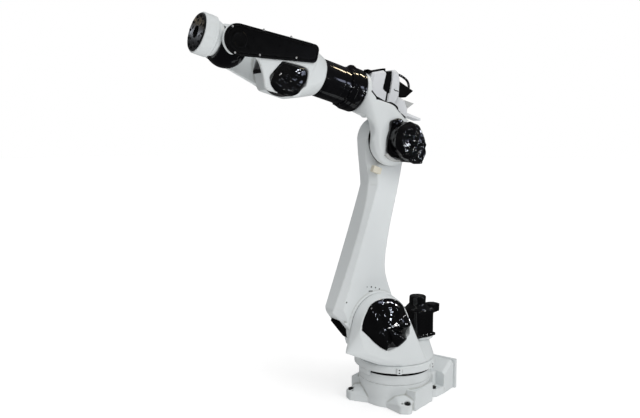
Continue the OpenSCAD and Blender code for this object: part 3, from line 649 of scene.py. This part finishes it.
def surface_y(link, obj, line):
    """How far out an object reaches at each (x, z) of a line on a link: rays are sent in from the near
    side, and gaps are filled from the neighbours."""
    origin, axes = link
    mesh = obj.data
    tree = BVHTree.FromPolygons([v.co for v in mesh.vertices], [p.vertices for p in mesh.polygons])
    hits = np.full(len(line), np.nan)
    for k, (x, z) in enumerate(line):
        start = on_link(link, (x, RAY_START_MM, z))
        at = tree.ray_cast(Vector(start), Vector(-ACROSS), RAY_LENGTH_M)[0]
        if at is not None:
            hits[k] = float((np.array(at) - origin) @ axes[1]) / MM
    known = ~np.isnan(hits)
    return np.interp(np.arange(len(line)), np.flatnonzero(known), hits[known])


print("ray helper ready")

# %% Shoulder motor's cover
OPENING_R, UPRIGHT_Y, OPENING_Y, ROUNDING = 183.0, 190.0, 144.0, 14.0
RAYS_OUT, RIM_OVER, RIM_SLOPE, RIM_PASSES = 1.035, 1.5, 0.14, 8
OPENING = OPENING_R * np.array([(-1, -0.32), (-0.28, -0.74), (-0.05, -0.8), (0.24, -0.62), (1, 0.06),
                                (1, 1), (-1, 1)])
COVER_EDGE = np.array([(155, 103), (128, 153), (71, 181), (8, 186), (-56, 172), (-116, 140), (-171, 90),
                       (-190, 33), (-185, -23), (-143, -73), (-96, -111), (-48, -136), (4, -142),
                       (68, -103), (126, -47), (160, 20), (170, 66)], float)
turn = np.linspace(0, 2 * np.pi, 220, endpoint=False)
# the link's axes after y are z and x, so an outline is read as (z, x)
opening_reach = reach_of(OPENING[::-1, ::-1], turn, ROUNDING)
opening_reach = (opening_reach ** -ROUNDING + OPENING_R ** -ROUNDING) ** (-1 / ROUNDING)
cover_reach = np.maximum(reach_of(COVER_EDGE[::-1, ::-1], turn), opening_reach)
edge_line = RAYS_OUT * cover_reach[:, None] * np.stack([np.sin(turn), np.cos(turn)], -1)
upright_rim = np.maximum(surface_y(SHOULDER, skins["swivel_frame"], edge_line), UPRIGHT_Y)
upright_rim = upright_rim + RIM_OVER + RIM_SLOPE * (upright_rim - UPRIGHT_Y)
for _ in range(RIM_PASSES):
    upright_rim = (np.roll(upright_rim, 1) + upright_rim + np.roll(upright_rim, -1)) / 3
print("rim of the shoulder's opening:", upright_rim.min().round(), "to", upright_rim.max().round(), "mm")
shoulder_dome = domed(cover_reach, turn, (0.0, 0.0), OPENING_Y + 1, upright_rim, 7.0, 6.0,
                      (21, 13.0, 60.0), lip=1.03)
piece("shoulder_motor_cover", [shoulder_dome], SHOULDER, "swivel", FILM, "shoulder_motor", crease=180.0)

# %% Wrist motors' cover
FLOOR_Y, CHEEK_Y = 59.5, 143.0
RIM_LOW, RIM_GAIN = 9.0, 11.0
WINDOW = np.array([(-230, -158), (-238, -127), (-252, -85), (-274, -49), (-298, -24), (-357, -18),
                   (-447, -16), (-467, -34), (-472, -73), (-460, -116), (-428, -176), (-366, -203),
                   (-304, -206), (-254, -186)], float)
WINDOW_MIDDLE = np.array([-350.0, -102.0])
window_reach = reach_of((WINDOW - WINDOW_MIDDLE)[::-1, ::-1], turn)
# the film lies deep in the window at the rear and above, and flush with the cheek ahead and below
lean = np.clip(0.35 + (0.75 * np.sin(turn) - 0.65 * np.cos(turn)) * 0.9, 0.0, 1.0)
window_rim = CHEEK_Y - RIM_LOW + RIM_GAIN * lean
window_dome = domed(window_reach, turn, WINDOW_MIDDLE[::-1], FLOOR_Y + 1, window_rim, 6.0, 4.0,
                    (9, 26.0, 56.0))
piece("wrist_motor_cover", [window_dome], WRIST, "forearm_link", FILM, "bend_motor", "spin_motor",
      crease=180.0)

# %% [markdown]
# ## Belt covers
# A long black plate closes the belt drive on either side of the wrist. It is pressed with a round
# edge and a shallow groove, has a raised disc over the pivot, and is held by six screws. A bevelled
# copy of the solid would give the edge, but not the groove. Here a profile of inset and height is
# carried round the outline, and further rings lead in to the plate's middle line.

# %% The belt plates
PIVOT_END_R, REAR_END_R = 84.0, 30.0
REAR_ENDS = np.array([(-465.0, 101.0), (-465.0, 55.0)])
PLATE_SPINE = np.array([(0.0, 0.0), (-440.0, 78.0)])
PLATE_PROFILE = soft([(0, 0), (0, 9.5), (2.5, 12), (13, 12), (14.5, 10.6), (17, 10.6), (18.5, 12),
                      (24, 12)], 1.6, 3)
PLATE_SCREWS = np.array([(54, 53), (-127, 97), (-300, 118), (10, -74), (-134, -40), (-358, 18)], float)


def belt_plate_rows(side):
    """The outline is the hull of three circles: for each direction the circle that reaches furthest.
    It is taken at even steps, inset along its normals and raised by the profile."""
    t = np.linspace(0, 2 * np.pi, 720, endpoint=False)
    way = np.stack([np.cos(t), np.sin(t)], -1)
    centres = np.concatenate([[(0.0, 0.0)], REAR_ENDS])
    radii = np.array([PIVOT_END_R, REAR_END_R, REAR_END_R])
    pick = (way @ centres.T + radii).argmax(1)
    loop = centres[pick] + radii[pick][:, None] * way
    loop = stepped(np.concatenate([loop, loop[:1]]), 5.0)[:-1]
    tangent = np.roll(loop, -1, 0) - np.roll(loop, 1, 0)
    normal = np.stack([tangent[:, 1], -tangent[:, 0]], -1) / np.linalg.norm(tangent, axis=1)[:, None]
    loops = loop - PLATE_PROFILE[:, :1, None] * normal
    spine = PLATE_SPINE[1] - PLATE_SPINE[0]
    share = np.clip((loops[-1] - PLATE_SPINE[0]) @ spine / (spine @ spine), 0, 1)
    middle = PLATE_SPINE[0] + share[:, None] * spine
    inner = loops[-1] + np.array([0.4, 0.75, 0.96])[:, None, None] * (middle - loops[-1])
    loops = np.concatenate([loops, inner])
    heights = np.concatenate([PLATE_PROFILE[:, 1], np.full(3, PLATE_PROFILE[-1, 1])])
    rows = np.zeros(loops.shape[:2] + (3,))
    rows[..., 0], rows[..., 2] = loops[..., 0], loops[..., 1]
    rows[..., 1] = side * (CHEEK_Y + heights[:, None])
    return rows


for side, name, node in ((1, "near_belt_plate", "belt_cover"), (-1, "far_belt_plate", "far_belt_cover")):
    disc = soft([(11.5, 47), (12.6, 46), (14.2, 44), (14.2, 34), (13.2, 32), (13.2, 2)], 0.8, 3)
    disc[:, 0] = side * (CHEEK_Y + disc[:, 0])
    piece(name, [rolled(belt_plate_rows(side)), turned(disc, axis=1)], WRIST, "forearm_link", BELT, node,
          crease=50.0)
    heads = [domed_plug((x, side * (CHEEK_Y + 12), z), 6.2, side * 3.4, axis=1) for x, z in PLATE_SCREWS]
    piece(name + "_screws", heads, WRIST, "forearm_link", ZINC)

# %% [markdown]
# ## Forearm tube and roll collar
# The forearm is a black tube that rolls in a stepped collar. These are lathe parts, so they are
# turned here too: the profile carries the steps, the grooves and the small round edges that catch
# the long lamp overhead.

# %% Tube and collar
AXIS_RISE, COLLAR_END, TUBE_END, COLLAR_R, TUBE_R = 250.0, 352.0, 548.0, 134.0, 114.0
FORE_AXIS = (0.0, 0.0, AXIS_RISE)
collar_line = soft([(214, 60), (214, 89), (247, 89), (248, 130), (252, COLLAR_R), (264, COLLAR_R),
                    (265, 131.5), (269, 131.5), (270, COLLAR_R), (312, COLLAR_R), (315, 127), (340, 127),
                    (344, 122), (COLLAR_END, 122), (COLLAR_END + 0.5, 60)], 2.0, 3)
collar = turned(collar_line, FORE_AXIS, 0, 128)
piece("roll_collar_rings", [collar], UPPER, "forearm_link", TUBE, "roll_collar")
tube_line = soft([(COLLAR_END - 4, 60), (COLLAR_END - 4, TUBE_R), (398, TUBE_R), (399, TUBE_R - 1.2),
                  (402, TUBE_R - 1.2), (403, TUBE_R), (TUBE_END - 22, TUBE_R),
                  (TUBE_END - 20, TUBE_R - 2.5), (TUBE_END + 2, TUBE_R - 2.5), (TUBE_END + 2, 60)], 1.2, 3)
tube = turned(tube_line, FORE_AXIS, 0, 128)
piece("forearm_tube_shell", [tube], UPPER, "forearm_link", TUBE, "forearm_tube")
collar_heads = [socket_screw(at, 6.5, 7.0) for at in spread((COLLAR_END, 0, AXIS_RISE), 117.8, 12, 10, 0)]
piece("collar_screws", collar_heads, UPPER, "forearm_link", STEEL)
knob = soft([(90, 34), (112, 33), (127, 27), (135, 15), (136, 1)], 8.0, 5)
piece("collar_knob", [turned(knob, (326, 30, AXIS_RISE), 2, 40)], UPPER, "forearm_link", TUBE)

# %% [markdown]
# ## Wrist, drum and tool flange
# The tool drum is a white turned ring with a fine groove and a tab. Between it and the fork lies the
# wrist's body, white above and black below. The flange's face is dark steel with a ring of screws.

# %% Drum and neck
DRUM_X, DRUM_END, DRUM_R, NECK_X, FLANGE_X = 95.0, 175.0, 112.0, 69.0, 183.0
drum_line = soft([(DRUM_X - 1, 40), (DRUM_X - 1, 104), (DRUM_X + 6, DRUM_R), (DRUM_X + 19, DRUM_R),
                  (DRUM_X + 20, DRUM_R - 1.4), (DRUM_X + 22.5, DRUM_R - 1.4), (DRUM_X + 23.5, DRUM_R),
                  (DRUM_END - 4, DRUM_R), (DRUM_END, DRUM_R - 3.5), (DRUM_END, 103.2),
                  (DRUM_END - 15, 103.2), (DRUM_END - 15.5, 20)], 1.4, 3)
piece("tool_drum_ring", [turned(drum_line, around=144)], WRIST, "wrist_link", WHITE, "tool_drum")
tab_line = stepped([(DRUM_X + 8, 0, DRUM_R), (DRUM_X + 30, 0, DRUM_R)], 4.0)
tab = drawn(tab_line, flat_section(-9, 9, 4.5, 2.0), (0, 1, 0))
piece("drum_tab", [tab], WRIST, "wrist_link", WHITE)
neck_line = soft([(NECK_X - 12, 30), (NECK_X - 12, 88), (NECK_X, 94), (NECK_X + 12, 98), (DRUM_X - 6, 97),
                  (DRUM_X, 97), (DRUM_X + 2, 40)], 4.0, 4)
piece("wrist_neck_ring", [turned(neck_line, around=128)], WRIST, "wrist_link", WHITE, "wrist_neck")
flange_heads = [socket_screw(at, 6.0, 4.5) for at in spread((FLANGE_X, 0, 0), 86.0, 12, 15, 0)]
piece("flange_screws", flange_heads, WRIST, "flange_link", STEEL)

# %% White shroud over the wrist's body
BODY_R, BODY_DROP, BODY_HALF = 117.0, 20.0, 114.0
SHROUD_OVER, SHROUD_WALL, LEAST_OUT, LEAST_IN = 3.0, 22.0, 34.0, 14.0
SHROUD_FRONT, SHROUD_REAR = 58, 150  # degrees about the wrist's pivot, from straight ahead
across = np.linspace(-1, 1, 41) * (BODY_HALF - 6)
outer = np.sqrt(np.maximum((BODY_R + SHROUD_OVER) ** 2 - across ** 2, LEAST_OUT ** 2))
section_y = np.concatenate([across, across[::-1]])
section_r = np.concatenate([outer, np.maximum(outer[::-1] - SHROUD_WALL, LEAST_IN)])
swing = np.radians(np.linspace(SHROUD_FRONT, SHROUD_REAR, 48))[:, None]
shroud = rings(section_y, section_r, np.pi / 2 - swing, 1) - np.array([0, 0, BODY_DROP])
piece("wrist_shroud", [rolled(shroud)], WRIST, "wrist_link", WHITE)

# %% Black glossy dome on the back wall of the fork's throat, which makes the throat dark
THROAT_X = -216.0
throat_reach = reach_of(np.array([(-70, -52), (52, -52), (76, -10), (60, 50), (-60, 50)], float), turn)
throat_dome = domed(throat_reach, turn, (34.0, -52.0), THROAT_X - 6, THROAT_X + 4, 16.0, 4.0,
                    (3, 5.0, 34.0), axis=0)
piece("throat_dark_dome", [throat_dome], WRIST, "forearm_link", FILM, crease=180.0)

# %% [markdown]
# ## Seams, strips and rods at the elbow
# The white cable covers sit on the elbow casting with a black strip along each seam, thick in some
# places and thin in others: it is the gasket in the joint and painted shadow in the seam's gap. A
# flat black strip runs over the top to the roll collar. Painted lines would vanish from the side, so
# each of them is a real strip: a bar's section drawn along the seam, with its width as one more
# column of the path.

# %% Gaskets, and painted shadow in the seams
COVER_Y = 104.0
EVEN_PASSES, NEAR_WIDTH, FAR_WIDTH = 6, np.array([1, 1, 1.4]), np.array([1, 1, 0.6])
SEAM = np.array([(222, 250, 3), (186, 220, 3), (178, 212, 9), (150, 210, 6), (128, 210, 3), (92, 210, 3),
                 (80, 210, 8), (28, 209, 8), (6, 206, 7), (8, 188, 5), (10, 180, 3), (-34, 179, 3),
                 (-48, 176, 6), (-80, 170, 8), (-100, 166, 7)], float)
SEAM_CROSS = np.array([(76, 290, 3), (75, 284, 8), (72, 270, 3), (70, 230, 3)], float)


def dark_strip(line, low, high, obj=None):
    """A black strip along a line of (x, z, half width), cut into small steps; along a seam it is the
    gasket and painted shadow in the seam's gap. It lies at COVER_Y, or on the surface of an object,
    with its depth evened out over a few steps."""
    flat = np.insert(line, 2, 0.0, axis=1)
    fine = stepped(soft(flat, 5.0, 3), 4.0)
    depth = surface_y(UPPER, obj, fine[:, :2]) if obj else np.full(len(fine), COVER_Y)
    for _ in range(EVEN_PASSES):
        depth[1:-1] = (depth[:-2] + depth[1:-1] + depth[2:]) / 3
    path = np.stack([fine[:, 0], depth, fine[:, 1], fine[:, 3]], -1)
    return drawn(path, flat_section(low, high, 1.0, 0.25), (0, 1, 0))


def mirrored(shell):
    """The same shell on the other side of the link."""
    points, quads, ends = shell
    return points * np.array([1, -1, 1]), quads, ends


# the black seam strips: gasket in the joint and painted shadow in the gap
seams = [dark_strip(SEAM * NEAR_WIDTH, -16.0, 2.4, elbow), dark_strip(SEAM_CROSS, -16.0, 1.0)]
seams += [mirrored(dark_strip(line * FAR_WIDTH, -18.0, 1.5)) for line in (SEAM, SEAM_CROSS)]
piece("elbow_gaskets_and_seam_shadow", seams, UPPER, "upper_link", BLACK)

# %% Top strip, rods, and painted shade in the slots
STRIP = [(243, 66, 374), (212, 66, 375), (190, 66, 386), (131, 66, 414), (112, 66, 420)]
top_strip = drawn(stepped(soft(STRIP, 14.0, 5), 4.0), flat_section(-22, 22, 9.0, 2.0), (0, 1, 0))
piece("cover_top_strip", [top_strip], UPPER, "upper_link", BLACK)
ROD = [(6, 62, 418), (-16, 62, 432), (-60, 62, 428), (-98, 62, 417), (-120, 62, 392), (-126, 62, 358)]
rod = drawn(stepped(soft(ROD, 16.0, 5), 4.0), round_section(7.5), (0, 1, 0))
piece("cable_guard_rods", [rod, mirrored(rod)], UPPER, "upper_link", ROD_BLACK)
# black strips on the covers where they have slots: painted shade standing for the slots' hollows
SLOTS = [np.array([(30, 321, 2), (16, 313, 3), (2, 317, 3), (-12, 315, 2)], float),
         np.array([(199, 259, 2), (203, 268, 3), (197, 282, 2)], float)]
piece("cover_slot_shade", [dark_strip(line, -3.0, 0.8) for line in SLOTS], UPPER, "upper_link", BLACK)

# %% [markdown]
# ## Seals, bolts and plugs
# Small things tell how large a machine is: the dark seal between two castings, a row of bolt holes,
# the black plugs on the feet, the connectors at the back. Each is turned, and a row of them is one
# shape placed many times.

# %% Seals between the links, and painted shadow under the turntable
def seal(start, end, inner, start_r, end_r, axis, around):
    """A flat ring from start to end along an axis, with a slightly conical rim and round corners."""
    profile = [(start, inner), (start, start_r), (end, end_r), (end, inner)]
    return turned(soft(profile, 0.5, 2), axis=axis, around=around)


ARM_Y, JOINT_Y = 112.0, 115.0
shoulder_seal = seal(ARM_Y + 0.5, JOINT_Y + 1, 150, 204, 205, 1, 160)
piece("shoulder_seal", [shoulder_seal], SHOULDER, "swivel", BLACK)
hub_seal = seal(ARM_Y + 0.6, JOINT_Y + 2, 100, 158.5, 159.5, 1, 128)
piece("hub_seal", [hub_seal], UPPER, "upper_link", BLACK)
RING_R, RING_TOP, TURNTABLE_Z = 238.0, 239.0, 245.0
# a black band from the turntable down the bearing ring's wall: the seal in the gap, and below it painted
# shadow under the turntable's rim
swivel_seal_and_shadow = seal(RING_TOP - 17, TURNTABLE_Z - 2, 210, RING_R + 1.5, RING_R + 1.5, 2, 160)
piece("swivel_seal_and_shadow", [swivel_seal_and_shadow], GROUND, "base", BLACK)

# %% Bolt plugs on the arm and the turntable
FACE_Y = 104.0
ARM_PLUGS = [(246, 159, 5.0), (92, 247, 3.5), (58, 245, 5.5), (24, 239, 4.5), (-9, 228, 4.5)]
plugs = [domed_plug((x, FACE_Y, z), r, 1.4, axis=1) for x, z, r in ARM_PLUGS]
slot_line = [(78, FACE_Y, 219), (62, FACE_Y, 219), (46, FACE_Y, 218)]
plugs.append(drawn(slot_line, flat_section(-2, 1, 3.0, 0.4), (0, 1, 0)))
piece("arm_bolt_plugs", plugs, LOWER, "lower_link", CAP)
TURNTABLE_R, BOSS_OUT = 270.0, 12.0
for number, angle in enumerate((56.0, 112.0)):
    bearing = math.radians(angle)
    out = math.cos(bearing) * AHEAD + math.sin(bearing) * ACROSS
    boss = (np.zeros(3), np.array([out, np.cross(UP, out), UP]))
    holes = [domed_plug((TURNTABLE_R + BOSS_OUT, 0, TURNTABLE_Z + rise), 4.6, 1.2) for rise in (12, 31)]
    piece("boss_plugs_" + str(number + 1), holes, boss, "swivel", CAP)

# %% Foot plugs
CAP_R = 17.0
caps_low, caps_high = (np.array(corner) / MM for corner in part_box("foot_caps"))
cap_line = soft([(0, CAP_R - 1), (10, CAP_R), (12, CAP_R + 0.8), (13, CAP_R - 2), (16.5, 9), (16.0, 7.5),
                 (13.5, 7), (13.2, 1)], 1.2, 3)
caps = [turned(cap_line, (x, y, caps_low[2]), 2, 40) for x in (caps_high[0] - CAP_R, caps_low[0] + CAP_R)
        for y in (caps_high[1] - CAP_R, caps_low[1] + CAP_R)]
piece("foot_plugs", caps, GROUND, "base", CAP, "foot_caps")

# %% Connectors on the rear panel
PANEL_LIP, PANEL_RISE, PLUG_DEPTH = 14.0, 6.0, 12.0
panel_low, panel_high = (np.array(corner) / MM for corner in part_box("connector_panel"))
REAR = (np.array([panel_low[0] * MM, 0.0, 0.0]), np.array([[-1.0, 0, 0], [0, -1.0, 0], [0, 0, 1.0]]))
plug_y, plug_z = 0.43 * (panel_high[1] - PANEL_LIP), (panel_high[2] - PANEL_RISE) / 2
shell_line = soft([(-PLUG_DEPTH - 2, 36), (3, 36), (5, 34), (5, 29), (-4, 28), (-5, 2)], 1.2, 3)
shells, pins = [], []
for sign in (1, -1):
    middle = (0, sign * plug_y, plug_z)
    shells.append(turned(shell_line, middle, 0, 56))
    for radius, count in ((0.1, 1), (9.0, 6), (18.0, 12)):
        pins += [turned([(-6, 2.0), (1, 2.0), (2.5, 1.0), (2.6, 0.2)], at, 0, 12)
                 for at in spread((0, middle[1], plug_z), radius, count, 0, 0)]
piece("rear_connectors", shells, REAR, "base", STEEL)
piece("connector_pins", pins, REAR, "base", ZINC)
SCREW_INSET = 9.0
edge_y, edge_z = panel_high[1] - SCREW_INSET, panel_high[2] - SCREW_INSET
places = [(0, y, z) for y in np.linspace(-edge_y, edge_y, 5) for z in (SCREW_INSET, edge_z)]
places += [(0, y, edge_z / 2) for y in (-edge_y, edge_y)]
piece("panel_screws", [socket_screw(at, 5.0, 4.0) for at in places], REAR, "base", ZINC)

# %% End covers on the far side of the lower arm
FAR_Y, ELBOW_UP = -46.0, 1175.0
END_COVERS = [("shoulder_end_cover", 0.0, 140.0, 12), ("elbow_end_cover", ELBOW_UP, 88.0, 8)]
for name, height, radius, count in END_COVERS:
    line = soft([(2, radius), (-7, radius), (-9, radius - 3), (-9, radius - 22), (-12, radius - 26),
                 (-12, 2)], 2.0, 3)
    line[:, 0] += FAR_Y
    piece(name, [turned(line, (0, 0, height), 1, 96)], LOWER, "lower_link", WHITE)
    places = spread((0, FAR_Y - 9, height), radius - 11, count, 0, 1)
    heads = [socket_screw(at, 6.5, -6.0, axis=1) for at in places]
    piece(name + "_screws", heads, LOWER, "lower_link", ZINC)

# %% [markdown]
# ## Floor, light and camera
# The photograph shows the arm on plain white: hardly any shadow, soft light from all round and a few
# bright streaks on the black parts. An image of a real room could light the scene too. Here a pale
# floor, a pale sky, two distant lamps and a few small ones do it, and each streak can be aimed. The
# camera stands where the photographer stood, worked out from the joints' places.

# %% Floor
FLOOR_HALF, FLOOR_Z, FLOOR_GLOW = 60.0, -0.001, 0.36
floor_paint, floor_shader, add, link = new_material("studio_floor")
floor_coords = add("ShaderNodeTexCoord").outputs["Object"]
floor_noise = ranged(add, link, noise_at(add, link, floor_coords, 0.7), *NOISE_SPAN, 0.0, 1.0)
floor_colour = mixed(add, link, floor_noise, grey(0.82), grey(0.80))
link(floor_colour, floor_shader.inputs["Base Color"])
link(0.9, floor_shader.inputs["Roughness"])
link(0.1, floor_shader.inputs["Specular IOR Level"])
link(grey(1.0), floor_shader.inputs["Emission Color"])
link(FLOOR_GLOW, floor_shader.inputs["Emission Strength"])
floor_corners = FLOOR_HALF * np.array([(-1.0, -1.0), (1.0, -1.0), (1.0, 1.0), (-1.0, 1.0)])
floor_mesh = bpy.data.meshes.new("studio_floor")
floor_mesh.from_pydata([(x, y, FLOOR_Z) for x, y in floor_corners], [], [(0, 1, 2, 3)])
floor = in_scene("studio_floor", floor_mesh)
floor.data.materials.append(floor_paint)
floor.visible_diffuse = False
floor.visible_glossy = False
floor.visible_shadow = False
print("floor of", 2 * FLOOR_HALF, "m")

# %% Sky
# strength over height, from straight down to straight up; two points share the top, so it rises late
SKY_CURVE = [(0.0, 0.3), (1.0, 0.95), (1.0, 1.0)]
SKY_BACKDROP, SKY_REFLECTED = 1.0, 0.12
sky = bpy.data.worlds.new("studio_sky")
bpy.context.scene.world = sky
sky.use_nodes = True
add, link = tree_tools(sky.node_tree)
split = add("ShaderNodeSeparateXYZ")
link(add("ShaderNodeTexCoord").outputs["Generated"], split.inputs[0])
rise = add("ShaderNodeFloatCurve")
bends = rise.mapping.curves[0].points
bends.new(0.5, 0.5)
for point, place in zip(bends, SKY_CURVE):
    point.location = place
link(ranged(add, link, split.outputs["Z"], -1.0, 1.0, 0.0, 1.0), rise.inputs["Value"])
by_height = rise.outputs["Value"]
ray = add("ShaderNodeLightPath").outputs
dimmed = add("ShaderNodeMix")
link(ray["Is Glossy Ray"], dimmed.inputs["Factor"])
link(by_height, dimmed.inputs["A"])
link(times(add, link, by_height, SKY_REFLECTED), dimmed.inputs["B"])
seen = add("ShaderNodeMix", B=SKY_BACKDROP)
link(ray["Is Camera Ray"], seen.inputs["Factor"])
link(dimmed.outputs["Result"], seen.inputs["A"])
glow = sky.node_tree.nodes["Background"]
link(grey(1.0), glow.inputs["Color"])
link(seen.outputs["Result"], glow.inputs["Strength"])
print("sky curve", [tuple(np.round(point.location, 2).tolist()) for point in bends])

# %% Lamps
def streak(name, place, aim, size, watts, colour):
    """A rectangular lamp at a place, turned so that it looks at a point. It only shows as a reflection
    in the glossy parts, as a studio's strip boxes do."""
    data = bpy.data.lights.new(name, "AREA")
    data.shape = "RECTANGLE"
    data.size, data.size_y = size
    data.energy = watts
    data.color = colour
    obj = in_scene(name, data)
    way = unit(np.array(aim) - np.array(place))
    side = unit(np.cross(way, UP))
    up = np.cross(side, way)
    stand = np.eye(4)
    stand[:3] = np.stack([side, up, -way, place], -1)
    obj.matrix_world = Matrix(stand.tolist())
    obj.visible_diffuse = False


def key_light(name, way, strength, disc):
    """A distant lamp that shines along a direction, with a wide disc so that its shadows are soft. It
    isn't mirrored by the glossy parts."""
    data = bpy.data.lights.new(name, "SUN")
    data.energy = strength
    data.angle = math.radians(disc)
    obj = in_scene(name, data)
    obj.rotation_euler = Vector(way).to_track_quat("-Z", "Y").to_euler()
    obj.visible_glossy = False


key_light("key", (-0.25, -0.8, -0.55), 1.0, 35.0)
key_light("floor_bounce", (-0.08, -0.27, 0.93), 1.6, 60.0)
streak("top_warm", (-1.5, 0.92, 4.15), (0.5, -0.08, 2.14), (0.2, 0.6), 14.0, (1.0, 0.84, 0.58))
streak("side_cool", (-0.45, 2.9, 2.3), (0.4, 0.0, 1.9), (0.5, 0.5), 4.0, (0.7, 0.77, 1.0))
streak("motor_spark", (-0.85, 3.0, 1.62), (0.3, 0.2, 1.7), (0.16, 0.16), 12.0, (0.85, 0.9, 1.0))
streak("motor_glint", (-1.3, 2.5, 1.2), (0.3, 0.2, 1.7), (0.16, 0.16), 10.0, (1.0, 1.0, 1.0))
streak("shoulder_spark", (-0.6, 2.9, 0.42), (0.3, 0.1, 0.6), (0.14, 0.12), 3.0, (0.8, 0.86, 1.0))
streak("shoulder_glint", (-1.6, 2.2, 1.0), (0.3, 0.1, 0.6), (0.06, 0.2), 0.5, (1.0, 0.97, 0.9))
streak("window_spark", (0.75, 2.7, 1.8), (0.9, -0.17, 2.07), (0.16, 0.16), 6.0, (1.0, 1.0, 1.0))
streak("front_white", (2.2, 4.0, 2.6), (0.2, 0.0, 1.2), (0.2, 0.3), 9.0, (1.0, 1.0, 1.0))
streak("flange_spark", (1.2, -3.33, 3.28), (1.31, -0.49, 2.3), (0.08, 0.035), 0.1, (0.85, 0.9, 1.0))
streak("flange_warm", (1.19, -3.29, 3.38), (1.31, -0.49, 2.3), (0.05, 0.05), 0.02, (1.0, 0.8, 0.5))
print("lamps:", len(bpy.data.lights))

# %% Camera
CAMERA_AT = (3.780, 2.199, 1.724)
CAMERA_YAW, CAMERA_PITCH = math.radians(-143.2), math.radians(-5.86)
FOCAL_PIXELS, IMAGE_WIDTH, SENSOR = 659.5, 640, 36.0
lens = bpy.data.cameras.new("photo_camera")
lens.sensor_fit = "HORIZONTAL"
lens.sensor_width = SENSOR
lens.lens = FOCAL_PIXELS / IMAGE_WIDTH * SENSOR
camera = in_scene("photo_camera", lens)
camera.location = CAMERA_AT
camera.rotation_euler = (math.pi / 2 + CAMERA_PITCH, 0.0, CAMERA_YAW - math.pi / 2)
bpy.context.scene.camera = camera
bpy.context.scene.view_settings.view_transform = "Standard"
print("lens", round(lens.lens, 2), "mm")
